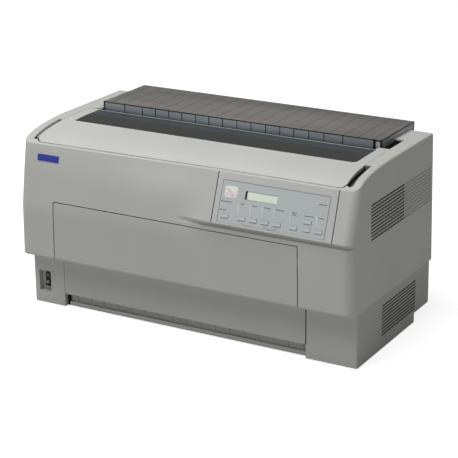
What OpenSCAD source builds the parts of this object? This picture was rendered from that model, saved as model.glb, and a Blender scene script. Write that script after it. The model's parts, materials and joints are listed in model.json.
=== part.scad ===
// Wide-carriage dot matrix printer, millimetres.
// X runs to the printer's right, Y to its back, Z up. The origin is the centre
// of the standing surface under the overall box.

/* [Upper casing] */
// Width of the upper casing
case_w = 700; // [660:1:740]
// Distance from the centre plane to the flat front
case_front = 189; // [185:1:195]
// Distance from the centre plane to the back wall
case_back = 157; // [150:1:162]
// Height of the flat top above the standing surface
case_top = 352; // [346:1:360]
// Height of the step where the upper casing ends
step_z = 107; // [100:1:110]
// Wall thickness of the plastic shells
wall = 3; // [2:0.5:4]
// Radius of the upright front corners
corner_r = 20; // [12:1:30]
// How far the casing's top bends down at its front edge
nose_drop = 24; // [22:1:27]
// Where the top starts to bend down, in front of the centre
nose_y = 40; // [30:1:50]

/* [Base] */
// How far the base's sides stand inside the casing's
base_side = 4; // [1:1:16]
// Distance from the centre plane to the base's front
base_front = 157.5; // [150:0.5:165]
// Distance from the centre plane to the base's back
base_back = 153; // [146:1:157]
// Height of the base's underside on its feet
foot_h = 2; // [1:0.5:4]
// Height of the raised underside at the back
rear_raise = 20; // [10:1:20]
// Where the raised underside starts
rear_raise_y = 88; // [70:1:100]

/* [Front doors] */
// Width of casing left of the front door
door_left = 78; // [70:1:100]
// Width of casing right of the front door
door_right = 106; // [100:1:120]
// Height of casing between the front door and the panel
brow_band = 19; // [18:1:32]
// Bottom edge of the lower cover
flap_bottom = 28; // [26:1:34]
// Seam left around doors and covers
seam = 0.8; // [0.4:0.1:1.2]

/* [Printer cover] */
// Width of casing on each side of the printer cover
cover_side = 32; // [30:1:36]
// Width of casing between its front top edge and the printer cover
cover_lead = 3; // [2:0.5:5]
// Back edge of the printer cover
cover_y1 = 8; // [6:0.5:10]
// Thickness of the printer cover
cover_t = 3; // [2:0.5:4]
// Width of the cover's frame on each side of the smoked window
window_frame = 26; // [22:1:48]
// Front edge of the smoked window
window_y0 = -79; // [-100:1:-60]
// Back edge of the smoked window
window_y1 = 0; // [-4:1:2]
// Width of each finger grip beside the cover
grip_w = 12; // [9:0.5:13]
// Length of each finger grip
grip_l = 76; // [60:1:84]

/* [Paper guide] */
// How far the guide's sides stand inside the printer cover's
guide_side = 20; // [19:1:28]
// Front wall of the paper guide
guide_y0 = 30; // [29:0.5:32]
// Back edge of the paper guide
guide_y1 = 193; // [180:1:200]
// How far the paper guide's top stands above the casing's
guide_rise = 11; // [8:1:16]
// Height of the paper guide's walls
guide_h = 17; // [14:1:18]
// Thickness of the paper guide's walls
guide_t = 2.5; // [2:0.5:3]
// Pitch of the ribs in guide and paper entry
rib_pitch = 30.5; // [25:0.5:40]

/* [Control panel] */
// Width of the control panel
panel_w = 237; // [222:1:247]
// Width of casing right of the control panel
panel_side = 38; // [34:1:50]
// How far the panel's lower edge stands out of the front
panel_proud = 4; // [2:0.5:6]
// From the front's top edge down to the panel's upper edge
panel_drop = 3; // [2.5:0.5:6]
// Height of the panel, measured upright
panel_h = 85; // [82:1:92]
// How far the front has leaned back at the panel's upper edge
panel_back = 29; // [24:1:33]
// Width of a key
key_w = 15; // [10:0.5:17]
// Height of a key
key_h = 6.5; // [5:0.5:8]
// Travel of a key
key_travel = 1; // [0.5:0.1:1.5]
// Width of the display's glass
lcd_w = 60; // [50:1:64]
// Height of the display's glass
lcd_h = 14; // [10:1:16]

/* [Louvres] */
// Pitch of the louvre slots
louvre_pitch = 6.23; // [5:0.1:8]
// Height of one louvre slot
louvre_h = 3; // [2:0.1:3.6]
// Slots in the upper group
upper_slots = 11; // [6:1:12]
// Slots in the lower group
lower_slots = 10; // [6:1:11]

/* [Mechanism] */
// Radius of the platen roller
platen_r = 24; // [20:0.5:26]
// Radius of the carriage shafts
rail_r = 8; // [6:0.5:9]
// Room between the casing's side and each side plate's inner face
bay_side = 31; // [26:1:34]
// Thickness of the steel plates
plate_t = 2.5; // [2:0.5:3]
// Distance between the two shafts of a tractor
tractor_l = 44; // [36:1:48]
// Radius of a tractor's rounded ends
tractor_r = 13; // [12:0.5:14]
// Width of a tractor's body
tractor_w = 14; // [12:1:18]
// Where the tractors stand at rest, out from the centre
tractor_x = 190; // [150:1:200]
// Gear module
gear_m = 2; // [1.5:0.25:2]
// Teeth of the platen gear and the rear tractor gear
big_teeth = 34; // [30:2:34]
// Teeth of the feed motor's pinion
pinion_teeth = 12; // [10:1:14]
// Radial running clearance of shafts
run_gap = 0.06; // [0.03:0.01:0.1]

/* [Hidden] */

$fn = 48;
eps = 0.01;
far = 500;

// --- outline of the upper casing -----------------------------------------

case_hw = case_w / 2;
base_hw = case_hw - base_side;
cover_hw = case_hw - cover_side;
window_hw = cover_hw - window_frame;
guide_hw = cover_hw - guide_side;
bay_hw = case_hw - bay_side;
door_x0 = -case_hw + door_left;
door_x1 = case_hw - door_right;
panel_x1 = case_hw - panel_side;
panel_x0 = panel_x1 - panel_w;
// The front's top edge, where the top surface starts
brow_z = case_top - nose_drop;
brow_y = -case_front + panel_back + 1;
panel_z1 = brow_z - panel_drop;
panel_z0 = panel_z1 - panel_h;
door_top = panel_z0 - brow_band;
guide_top = case_top + guide_rise;
// Height where the front starts to lean back
lean_z = door_top + 1;
cover_y0 = brow_y + cover_lead;
// Rounding of the casing's lower edge
hem_r = 5;
// Roundings of the upright back corners and the top's back edge
back_r = 5;
back_top_r = 3;
// Chamfer between the front's top edge and the top surface
brow_c = 3;

// Points of an arc about c from angle a0 to a1
function arc(c, r, a0, a1, n = 6) =
  [for (i = [0:n]) c + r * [cos(a0 + (a1 - a0) * i / n), sin(a0 + (a1 - a0) * i / n)]];

// Share of the nose's rise reached at share t of its length
function nose(t) = 0.35 * sqrt(t) + 0.65 * (1 - pow(1 - t, 4));

// The top surface's line from its front edge to where it is flat, inset by d
function top_line(d = 0) = [
  for (i = [0:6]) let (t = i * i / 36)
    [
      brow_y + brow_c + t * (-nose_y - brow_y - brow_c),
      brow_z + brow_c + (nose_drop - brow_c) * nose(t) - d
    ]
];

// Height of the top surface at y
function top_z(y) = lookup(y, top_line());

// Section of the casing left of the panel, inset by d
function side_section(d = 0) = concat(
  arc([-case_front + hem_r + d, step_z + hem_r + d], hem_r, 270, 180, 4),
  [
    [-case_front + d, lean_z],
    [-case_front + 4 + d, lean_z + 8],
    [-case_front + 14 + d, lean_z + 34],
    [-case_front + panel_back - 3 + d, panel_z1 - 15],
    [brow_y + 0.5 + d, brow_z]
  ],
  [for (p = top_line(d)) p + [d * 0.3, 0]],
  arc([case_back - back_top_r - d, case_top - back_top_r - d], back_top_r, 90, 0, 3),
  [[case_back - d, step_z + d]]
);

// Section of the brow that carries the control panel, inset by d
function brow_section(d = 0) = [
  [-case_front + d, panel_z0 - 6],
  [-case_front - panel_proud + d, panel_z0],
  [-case_front + panel_back + d, panel_z1],
  [brow_y + 0.5 + d, brow_z],
  [brow_y + brow_c + d, brow_z + brow_c - d],
  [brow_y + 12 + d, panel_z0 - 6]
];

// The casing's outline seen from above, inset by d and proud of the front by f
function plan_outline(d = 0, f = 0) = concat(
  arc([-case_hw + corner_r, -case_front - f + corner_r], corner_r - d, 180, 270),
  arc([case_hw - corner_r, -case_front - f + corner_r], corner_r - d, 270, 360),
  arc([case_hw - back_r, case_back - back_r], back_r - d, 0, 90),
  arc([-case_hw + back_r, case_back - back_r], back_r - d, 90, 180)
);

// Extrudes a section drawn as [y, z] from x0 to x1
module along_x(x0, x1) {
  translate([x0, 0, 0]) rotate([90, 0, 90]) linear_extrude(x1 - x0) children();
}

// A box given by its two corners
module block(p, q) {
  translate(p) cube(q - p);
}

// A rod along X
module rod_x(x0, x1, y, z, r) {
  translate([x0, y, z]) rotate([0, 90, 0]) cylinder(r = r, h = x1 - x0);
}

// Where the brow starts, left of the panel
brow_x0 = panel_x0 - 21;

module casing_body(d = 0) {
  intersection() {
    along_x(-case_hw + d, case_hw - d) polygon(side_section(d));
    linear_extrude(far) polygon(plan_outline(d));
  }
  intersection() {
    along_x(brow_x0 + d, case_hw - d) polygon(brow_section(d));
    linear_extrude(far) polygon(plan_outline(d, panel_proud));
  }
}

// --- doors, covers and their pins ----------------------------------------

pin_r = 2.5;
// Front door: it swings down about its lower edge
door_pivot = [-case_front + 6, step_z + 6];
// Lower front cover: it swings out about its upper edge
flap_top = step_z - 1.5;
flap_pivot = [-base_front + 3.5, flap_top - 5.5];
flap_x0 = door_x0 - 3;
flap_x1 = door_x1 + 1;
// Printer cover: it lifts about its back edge
cover_pivot = [cover_y1 - 8, case_top - 9];
// Paper guide: it lifts about the two posts at its front corners
guide_z0 = guide_top - guide_h;
guide_pivot = [guide_y0 + 13, guide_z0 + 5.5];
post_w = 9;
post_l = 18;
notch_w = 14;
notch_l = 26;
post_x = guide_hw - notch_w / 2;
ear_t = 5;
pin_grip = 6;
// The pins reach this far on each side of a wall
door_pins = [[door_x0 - pin_grip, door_x0 + 3 + ear_t], [door_x1 - 3 - ear_t, door_x1 + pin_grip]];
flap_pins = [[flap_x0 - wall, flap_x0 + 1.5 + ear_t], [flap_x1 - 1.5 - ear_t, flap_x1 + wall]];
cover_pins = [
  [-cover_hw - 2 - pin_grip, -cover_hw + ear_t],
  [cover_hw - ear_t, cover_hw + 2 + pin_grip]
];
guide_pin_in = notch_w - 2;
guide_pins = [
  [-post_x - post_w / 2, -guide_hw + notch_w + 5],
  [guide_hw - notch_w - 5, post_x + post_w / 2]
];

module pin_pair(spans, at) {
  for (s = spans) rod_x(s[0], s[1], at[0], at[1], pin_r);
}

module hinge_pins() {
  color("silver") {
    pin_pair(door_pins, door_pivot);
    pin_pair(flap_pins, flap_pivot);
    pin_pair(cover_pins, cover_pivot);
    pin_pair(guide_pins, guide_pivot);
  }
}

// Running bores for a pair of pins
module pin_bores(spans, at) {
  for (s = spans) rod_x(s[0] - 1, s[1] + 1, at[0], at[1], pin_r + run_gap);
}

// --- upper casing ----------------------------------------------------------

// Opening under the printer cover and its grips
well_hw = cover_hw + seam;
deck_z = guide_z0 - 6;
pocket_x = guide_hw + 12;
pocket_l = 66;
exit_y0 = 22;
louvre_z0 = case_top - 124.9;
louvre_y0 = -120;
louvre_y1 = 21.6;
groove_y1 = 139;
groove_d = 0.8;
ledge_w = 12;

// Slots stacked from z0 up, on both sides of the printer
module louvres(count, z0, y0, y1, outer, depth) {
  for (i = [0:count - 1], s = [-1, 1])
    translate([s * (outer - depth / 2), (y0 + y1) / 2, z0 + i * louvre_pitch])
      cube([depth + eps, y1 - y0, louvre_h], center = true);
}

module cover_bosses() {
  for (s = [-1, 1])
    translate([s * (cover_hw + 2 + pin_grip / 2), cover_pivot[0], case_top - wall - 4.5])
      cube([pin_grip, 12, 11], center = true);
}

module door_bosses() {
  boss = pin_grip - 1;
  for (x = [door_x0 - boss - 0.5, door_x1 + 0.5])
    block([x, -case_front + wall - 1, step_z + wall - 1], [x + boss, door_pivot[0] + 6, door_pivot[1] + 6]);
}

module guide_posts() {
  for (s = [-1, 1]) {
    translate([s * post_x, guide_pivot[0], 0])
      block([-post_w / 2, -post_l / 2, deck_z - wall], [post_w / 2, post_l / 2, guide_pivot[1] + 5]);
    // Arm that ties the post to the casing's side
    block(
      [s > 0 ? post_x : -case_hw + wall - 0.5, guide_pivot[0] - post_l / 2, deck_z - wall],
      [s > 0 ? case_hw - wall + 0.5 : -post_x, guide_pivot[0] + post_l / 2, deck_z]
    );
  }
}

module upper_casing() {
  color([0.72, 0.72, 0.7]) difference() {
    union() {
      difference() {
        casing_body();
        casing_body(wall);
        // Open underside over the base
        block(
          [-base_hw + ledge_w, -base_front + ledge_w, step_z - 1],
          [base_hw - ledge_w, base_back - ledge_w, step_z + wall + 1]
        );
        // Room over the fan
        translate([fan_at[0], fan_y1 - fan_d / 2, fan_at[1]])
          cube([fan_size + 2 * seam, fan_d + 2 * seam, fan_size + 2 * seam], center = true);
        // Front door
        block(
          [door_x0 - seam, -case_front - 1, step_z - 1],
          [door_x1 + seam, -case_front + 13, step_z + wall + 3]
        );
        block(
          [door_x0 - seam, -case_front - 1, step_z - 1],
          [door_x1 + seam, -case_front + wall + 5, door_top + seam]
        );
        // Control panel
        block(
          [panel_x0 - seam / 2, -case_front - 10, panel_z0 - 4],
          [panel_x1 + seam / 2, -case_front + panel_back + 12, panel_z1 + seam]
        );
        // Printer cover
        block([-well_hw, cover_y0 - seam, brow_z - 8], [well_hw, exit_y0, far]);
        for (s = [-1, 1])
          translate([s * (cover_hw + grip_w / 2), cover_y0 + grip_l / 2, case_top])
            cube([grip_w, grip_l, 60], center = true);
        // Paper exit, guide pockets and the low back wall
        block([-pocket_x, exit_y0 - 1, deck_z], [pocket_x, exit_y0 + pocket_l, far]);
        block([-guide_hw - 2.5, exit_y0, deck_z], [guide_hw + 2.5, case_back + 1, far]);
        // Louvres
        louvres(upper_slots, louvre_z0, louvre_y0, louvre_y1, case_hw, wall + 1);
        louvres(upper_slots, louvre_z0, louvre_y1 + 2, groove_y1, case_hw, groove_d);
      }
      // Lip that stiffens the low back wall
      block(
        [-case_hw + wall - 0.5, case_back - wall - 10, deck_z - wall],
        [case_hw - wall + 0.5, case_back - wall + 0.5, deck_z]
      );
      // Rest for the printer cover's front lip, left of the panel
      block(
        [-well_hw - 3, brow_y + 1, brow_z - lip_drop - 3.5],
        [panel_x0 - 3, cover_y0 + 6, brow_z - lip_drop - 0.5]
      );
      cover_bosses();
      door_bosses();
      guide_posts();
    }
    pin_pair(cover_pins, cover_pivot);
    pin_pair(door_pins, door_pivot);
    pin_pair(guide_pins, guide_pivot);
    // Seat of the badge
    badge_at() translate([0, 0, -badge_t / 2]) cube([badge_w + 0.2, badge_h + 0.2, badge_t + eps], center = true);
  }
}

// Plain badge on the leaning front, at the upper left
badge_w = 48.5;
badge_h = 13;
badge_t = 1;
badge_x = -case_hw + 55;
lean_run = panel_back - 17;
lean_rise = panel_z1 - 15 - lean_z - 34;
badge_v = 0.78;

module badge_at() {
  translate([
    badge_x,
    -case_front + 14 + lean_run * badge_v,
    lean_z + 34 + lean_rise * badge_v
  ])
    rotate([90 - atan(lean_run / lean_rise), 0, 0]) children();
}

module blank_badge() {
  color([0.24, 0.27, 0.45]) badge_at()
    translate([0, 0, -badge_t / 2 + 0.3]) cube([badge_w, badge_h, badge_t + 0.6], center = true);
}

// --- front door --------------------------------------------------------------

module front_door() {
  color([0.7, 0.7, 0.68]) difference() {
    union() {
      intersection() {
        difference() {
          along_x(door_x0, door_x1) polygon(side_section());
          along_x(door_x0 - 1, door_x1 + 1) polygon(side_section(wall));
        }
        block([door_x0, -case_front, step_z], [door_x1, -case_front + 10, door_top]);
      }
      // Ears on the hinge pins
      for (x = [door_x0 + 1.5, door_x1 - 1.5 - ear_t])
        rod_x(x, x + ear_t, door_pivot[0], door_pivot[1], 5);
      // Stiffening rib behind the upper edge
      block(
        [door_x0 + 8, -case_front + wall - 0.5, door_top - 14],
        [door_x1 - 8, -case_front + wall + 6, door_top - 11]
      );
    }
    pin_bores(door_pins, door_pivot);
  }
}

// --- base ----------------------------------------------------------------------

base_r = wall + 1;
bulkhead_y = -118;
lip_y = -138;
floor_z = foot_h + wall;
plate_z = rear_raise + wall;

function base_outline(d = 0) = concat(
  arc([-base_hw + base_r, -base_front + base_r], base_r - d, 180, 270),
  arc([base_hw - base_r, -base_front + base_r], base_r - d, 270, 360),
  [[base_hw - d, base_back - d], [-base_hw + d, base_back - d]]
);

// Power switch: its well, body and rocker
well_x0 = -base_hw + 12;
well_x1 = well_x0 + 27;
well_z0 = 25;
well_z1 = 67;
well_d = 11.5;
switch_w = 12.4;
switch_h = 31;
switch_l = 32;
switch_at = [well_x0 + 14, -base_front + well_d + 3, 47.5];

// Rear connectors
inlet_at = [-base_hw + 61, 60];
port_at = [30, 44];
fan_size = 76;
fan_at = [base_hw - 121, rear_raise + wall + 3 + fan_size / 2];
port_w = 92;
port_h = 24;
lower_louvre_z0 = 28.2;
lower_louvre_y0 = -57;
lower_louvre_y1 = 92;

module base_housing() {
  color([0.69, 0.69, 0.67]) difference() {
    union() {
      difference() {
        translate([0, 0, foot_h]) linear_extrude(step_z - foot_h) polygon(base_outline());
        difference() {
          translate([0, 0, floor_z]) linear_extrude(step_z) polygon(base_outline(wall));
          block([-far, rear_raise_y - wall, 0], [far, far, plate_z]);
        }
        block([-far, rear_raise_y, -1], [far, far, rear_raise]);
        // Mouth for the lower cover and the paper entry
        block([flap_x0, -base_front - 1, -1], [flap_x1, -base_front + wall + 1, step_z + 1]);
        block([flap_x0, -base_front - 1, -1], [flap_x1, lip_y, floor_z + 1]);
      }
      // Bulkheads beside the mouth
      for (x = [flap_x0 - wall, flap_x1])
        block([x, -base_front + 1, foot_h], [x + wall, bulkhead_y, step_z]);
      // Well of the power switch
      block(
        [well_x0 - 2, -base_front + 1, well_z0 - 2],
        [well_x1 + 2, -base_front + well_d + 2, well_z1 + 2]
      );
      // Posts that carry the base plate
      for (x = [-foot_x, -foot_x / 3, foot_x / 3, foot_x], y = [-80, 60])
        translate([x, y, foot_h + 1]) cylinder(r = 7, h = plate_z - foot_h - 1);
    }
    block([well_x0, -base_front - 1, well_z0], [well_x1, -base_front + well_d, well_z1]);
    block(
      [switch_at[0] - switch_w / 2 - 0.1, -base_front, switch_at[2] - switch_h / 2 - 0.1],
      [switch_at[0] + switch_w / 2 + 0.1, 0, switch_at[2] + switch_h / 2 + 0.1]
    );
    pin_pair(flap_pins, flap_pivot);
    louvres(lower_slots, lower_louvre_z0, lower_louvre_y0, lower_louvre_y1, base_hw, wall + 1);
    // Back wall: inlet, connectors and the fan's grille
    translate([inlet_at[0], base_back, inlet_at[1]]) cube([28.2, 20, 20.2], center = true);
    translate([port_at[0], base_back, port_at[1]]) cube([port_w, 20, port_h], center = true);
    for (i = [-5:5])
      translate([fan_at[0], base_back, fan_at[1] + i * louvre_pitch])
        cube([fan_size - 10, 20, louvre_h], center = true);
    for (p = foot_places) translate([p[0], p[1], foot_h - 1]) cylinder(r = foot_r, h = 2);
  }
}

foot_r = 9;
foot_x = base_hw - 46;
foot_places = [for (x = [-foot_x, foot_x], y = [-105, 70]) [x, y]];

module rubber_feet() {
  color([0.15, 0.15, 0.15])
    for (p = foot_places) translate([p[0], p[1], 0]) cylinder(r = foot_r, h = foot_h + 1);
}

// --- lower front cover and paper entry ---------------------------------------

entry_z = flap_bottom - 6;
entry_y = -base_front + 14;
rib_t = 2.5;
rib_h = 2.5;
rib_from = flap_x0 + 19.4;
rib_count = floor((flap_x1 - 10 - rib_from) / rib_pitch);

module lower_front_cover() {
  color([0.7, 0.7, 0.68]) difference() {
    union() {
      block(
        [flap_x0 + seam, -base_front, flap_bottom],
        [flap_x1 - seam, -base_front + wall, flap_top]
      );
      for (x = [flap_x0 + seam, flap_x1 - seam - ear_t])
        rod_x(x, x + ear_t, flap_pivot[0], flap_pivot[1], 5);
      // Rolled lower edge
      block(
        [flap_x0 + seam, -base_front + wall - 1, flap_bottom],
        [flap_x1 - seam, -base_front + wall + 3, flap_bottom + 2.5]
      );
    }
    pin_bores(flap_pins, flap_pivot);
  }
}

module paper_entry_guide() {
  back = lip_y + 20;
  color([0.68, 0.68, 0.66]) {
    along_x(flap_x0 + 0.2, flap_x1 - 0.2) polygon([
      [entry_y - 2, foot_h], [entry_y, entry_z], [entry_y + 7, entry_z],
      [back - 3, entry_z + 16], [back, step_z - 10], [back + wall, step_z - 10],
      [back + wall, entry_z + 12], [entry_y + 10, entry_z - 4], [entry_y + 4, foot_h]
    ]);
    for (i = [0:rib_count])
      translate([rib_from + i * rib_pitch, 0, 0]) along_x(0, rib_t) polygon([
        [entry_y - 2 - rib_h, foot_h], [entry_y - rib_h + 1, entry_z - 1],
        [entry_y + 1, entry_z], [entry_y + 1, foot_h]
      ]);
  }
}

// --- printer cover and window ---------------------------------------------------

cover_r = 14;
lip_h = 6;
// How far the front lip reaches below the front's top edge
lip_drop = 2;
window_lap = 5;
window_t = 2;

// Section of the cover's skin between two depths below the top surface
module top_skin(y0, y1, a, b) {
  ys = concat([y0], [for (p = top_line()) if (p[0] > y0 && p[0] < y1) p[0]], [y1]);
  n = len(ys) - 1;
  polygon(concat(
    [for (y = ys) [y, top_z(y) - a]],
    [for (i = [n:-1:0]) [ys[i], top_z(ys[i]) - b]]
  ));
}

module cover_plan() {
  polygon(concat(
    arc([-cover_hw + cover_r, cover_y0 + cover_r], cover_r, 180, 270),
    arc([cover_hw - cover_r, cover_y0 + cover_r], cover_r, 270, 360),
    [[cover_hw, cover_y1], [-cover_hw, cover_y1]]
  ));
}

module printer_cover() {
  color([0.8, 0.8, 0.79]) difference() {
    union() {
      intersection() {
        along_x(-cover_hw, cover_hw) top_skin(cover_y0, cover_y1, 0, cover_t);
        linear_extrude(far) cover_plan();
      }
      // Front lip
      block(
        [-cover_hw + cover_r, cover_y0, brow_z - lip_drop],
        [cover_hw - cover_r, cover_y0 + 2.5, brow_z + 1.5]
      );
      // Side skirts with the hinge ears
      for (s = [-1, 1]) {
        translate([s * (cover_hw - 1.25), 0, 0])
          along_x(-1.25, 1.25) top_skin(cover_y0 + cover_r, cover_y1 - 2, 1, lip_h + cover_t);
        translate([s * (cover_hw - ear_t / 2), 0, 0]) {
          rod_x(-ear_t / 2, ear_t / 2, cover_pivot[0], cover_pivot[1], 5.5);
          block([-ear_t / 2, cover_pivot[0] - 5.5, cover_pivot[1]],
            [ear_t / 2, cover_pivot[0] + 5.5, case_top - 1]);
        }
      }
    }
    block([-window_hw, window_y0, 0], [window_hw, window_y1, far]);
    pin_bores(cover_pins, cover_pivot);
  }
}

module cover_window() {
  color([0.18, 0.2, 0.22, 0.6]) {
    gap = 0.2;
    along_x(-window_hw + gap, window_hw - gap)
      top_skin(window_y0 + gap, window_y1 - gap, 0.5, cover_t);
    along_x(-window_hw - window_lap, window_hw + window_lap)
      top_skin(window_y0 - window_lap, window_y1 + window_lap, cover_t, cover_t + window_t);
  }
}

// --- tear bar and paper guide ------------------------------------------------------

tear_y0 = cover_y1 + 5;
tear_y1 = guide_y0 - 6;
tear_z0 = deck_z - 6;
// Top of the side plates
bay_top = tear_z0 - 12;

module tear_bar() {
  color([0.75, 0.78, 0.8]) {
    along_x(-bay_hw - plate_t, bay_hw + plate_t) polygon([
      [tear_y0, tear_z0], [tear_y0, deck_z + 4], [tear_y0 + 2, guide_z0 + 1],
      [tear_y1, guide_z0 + 1], [tear_y1, guide_z0 - 0.5], [tear_y0 + 3.5, guide_z0 - 1],
      [tear_y0 + 2, deck_z + 4], [tear_y0 + 2, tear_z0]
    ]);
  }
}

guide_rib_from = -guide_hw + 18;
guide_rib_count = floor((2 * guide_hw - 36) / rib_pitch);

module paper_guide() {
  color([0.3, 0.3, 0.3, 0.7]) difference() {
    union() {
      difference() {
        block([-guide_hw, guide_y0, guide_z0], [guide_hw, guide_y1, guide_top]);
        block(
          [-guide_hw + guide_t, guide_y0 + guide_t, guide_z0 - 1],
          [guide_hw - guide_t, guide_y1 + 1, guide_top - guide_t]
        );
        for (s = [-1, 1])
          translate([s * (guide_hw - notch_w / 2), guide_y0 + notch_l / 2, guide_z0])
            cube([notch_w + 1, notch_l + 1, 60], center = true);
      }
      // Walls that close the notches
      for (s = [-1, 1]) {
        translate([s * (guide_hw - notch_w - 2.5), 0, 0])
          block([-2, guide_y0, guide_z0], [2, guide_y0 + notch_l + 2, guide_top]);
        translate([s * (guide_hw - notch_w / 2), 0, 0])
          block([-notch_w / 2, guide_y0 + notch_l + 0.5, guide_z0],
            [notch_w / 2, guide_y0 + notch_l + 0.5 + guide_t, guide_top]);
      }
      // Ribs under the top
      for (i = [0:guide_rib_count])
        translate([guide_rib_from + i * rib_pitch, 0, 0])
          block([0, guide_y0 + 1, guide_top - 9], [1.5, guide_y1 - 2, guide_top - 1]);
    }
    pin_bores(guide_pins, guide_pivot);
  }
}

// --- control panel --------------------------------------------------------------------

panel_run = panel_back + panel_proud;
panel_rise = panel_z1 - panel_z0;
panel_l = sqrt(panel_run * panel_run + panel_rise * panel_rise);
panel_tilt = 90 - atan(panel_run / panel_rise);
bezel_t = 3;
overlay_t = 0.5;
overlay_x0 = panel_x0 + 9;
overlay_x1 = panel_x1 - 15;
overlay_v0 = 4;
overlay_v1 = 79;
board_d = 11;
board_t = 1.6;
lcd_at = [overlay_x0 + 82, 57];
key_v = 15.7;
// Keys left to right, as [x, v] in the panel's plane
keys = [
  for (k = [
    [14.5, 0], [48.8, 0], [71.7, 0], [95, 0], [118.6, 0],
    [150.8, 0], [176, 13.5], [176, 0], [198.6, 0]
  ]) [overlay_x0 + k[0], key_v + k[1]]
];
key_proud = 1.4;
key_gap = 0.35;

// Places children on the panel: x across, y up its slope, z out of its face
module on_panel() {
  translate([0, -case_front - panel_proud, panel_z0]) rotate([panel_tilt, 0, 0]) children();
}

module key_holes(g) {
  for (k = keys) translate([k[0], k[1], 0]) cube([key_w + 2 * g, key_h + 2 * g, 30], center = true);
}

module panel_bezel() {
  color([0.8, 0.8, 0.79]) difference() {
    intersection() {
      difference() {
        along_x(panel_x0, panel_x1) polygon(brow_section());
        along_x(panel_x0 - 1, panel_x1 + 1) polygon(brow_section(bezel_t + 0.5));
      }
      block(
        [panel_x0, -case_front - 10, panel_z0 - 4 + seam],
        [panel_x1, -case_front + panel_back + 8, panel_z1]
      );
    }
    on_panel() {
      translate([overlay_x0 - 0.1, overlay_v0 - 0.1, -overlay_t])
        cube([overlay_x1 - overlay_x0 + 0.2, overlay_v1 - overlay_v0 + 0.2, 5]);
      key_holes(key_gap);
      translate([lcd_at[0], lcd_at[1], 0]) cube([lcd_w + 1, lcd_h + 1, 30], center = true);
    }
  }
}

module panel_overlay() {
  color([0.66, 0.71, 0.74]) on_panel() difference() {
    translate([overlay_x0, overlay_v0, -overlay_t])
      cube([overlay_x1 - overlay_x0, overlay_v1 - overlay_v0, overlay_t + 0.2]);
    key_holes(key_gap);
    translate([lcd_at[0], lcd_at[1], 0]) cube([lcd_w + 1, lcd_h + 1, 30], center = true);
  }
}

module lcd_display() {
  body_t = board_d - 1.2 - 4.5;
  color([0.72, 0.8, 0.7]) on_panel() {
    translate([lcd_at[0], lcd_at[1], -0.4 - 2.5]) cube([lcd_w, lcd_h, 5], center = true);
    translate([lcd_at[0], lcd_at[1], -5.3 - body_t / 2])
      cube([lcd_w + 12, lcd_h + 8, body_t], center = true);
  }
}

module panel_board() {
  color([0.2, 0.4, 0.25]) on_panel() {
    difference() {
      translate([overlay_x0 + 1, overlay_v0 + 2, -board_d - board_t])
        cube([overlay_x1 - overlay_x0 - 2, overlay_v1 - overlay_v0 - 4, board_t]);
    }
    // Key switches on the board
    for (k = keys) translate([k[0], k[1], -board_d]) cylinder(r = 2.6, h = 2.4);
    // Stand-offs to the bezel
    for (x = [overlay_x0 + 5, overlay_x1 - 5], v = [key_v + 11, overlay_v1 - 8])
      translate([x, v, -board_d]) cylinder(r = 2.5, h = board_d - bezel_t - 0.6);
  }
}

// A key: its cap, a collar that holds it behind the bezel, and its stem
module key_at(i) {
  k = keys[i];
  stem_l = board_d - 2.4 - key_travel - 0.1;
  color([0.88, 0.88, 0.86]) on_panel() translate([k[0], k[1], 0]) {
    translate([0, 0, key_proud / 2 - 2.6]) cube([key_w, key_h, key_proud + 5.2], center = true);
    translate([0, 0, -stem_l]) cylinder(r = 2.2, h = stem_l);
    translate([0, 0, -bezel_t - 1.7]) cube([key_w + 2, key_h + 1.4, 1], center = true);
  }
}

module key_1() { key_at(0); }
module key_2() { key_at(1); }
module key_3() { key_at(2); }
module key_4() { key_at(3); }
module key_5() { key_at(4); }
module key_6() { key_at(5); }
module key_7() { key_at(6); }
module key_8() { key_at(7); }
module key_9() { key_at(8); }

// --- power switch -----------------------------------------------------------------------

rocker_w = 9.4;
rocker_h = 27;
rocker_tilt = 7;

module power_rocker() {
  color([0.1, 0.1, 0.1]) translate(switch_at) rotate([-rocker_tilt, 0, 0])
    along_x(-rocker_w / 2, rocker_w / 2) polygon([
      [-8, -rocker_h / 2], [-5, 0], [-8, rocker_h / 2], [-3, rocker_h / 2],
      [7, 5], [7, -5], [-3, -rocker_h / 2]
    ]);
}

module switch_body() {
  color([0.12, 0.12, 0.12]) difference() {
    translate(switch_at) block(
      [-switch_w / 2, -4, -switch_h / 2], [switch_w / 2, switch_l, switch_h / 2]
    );
    translate(switch_at) block(
      [-rocker_w / 2 - 0.4, -far, -rocker_h / 2 - 1], [rocker_w / 2 + 0.4, 9, rocker_h / 2 + 1]
    );
  }
  // Trunnions of the rocker
  color([0.12, 0.12, 0.12]) for (s = [-1, 1])
    translate(switch_at + [s * (rocker_w / 2 + 0.35), 0, 0])
      rotate([0, 90, 0]) cylinder(r = 2, h = 0.5, center = true);
}

// --- frame ------------------------------------------------------------------------------

plate_y0 = -100;
plate_y1 = base_back - wall - 2;
plate_top = plate_z + plate_t;
flange_w = 14;
// Back edge of the side plates, clear of the casing's underside
bay_y1 = base_back - ledge_w - 2;

screw_places = [for (s = [-1, 1], y = [-80, 10, 100]) [s * (bay_hw - 7), y]];

module base_plate() {
  color([0.7, 0.7, 0.72]) difference() {
    block([-bay_hw - 12, plate_y0, plate_z], [bay_hw + 12, plate_y1, plate_top]);
    for (p = screw_places) translate([p[0], p[1], plate_z - 1]) cylinder(r = 2, h = plate_t + 2);
  }
}

// Directions from the platen to the rear tractor's gear and to the pinion
rear_dir = -60;
pinion_dir = -110;
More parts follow.
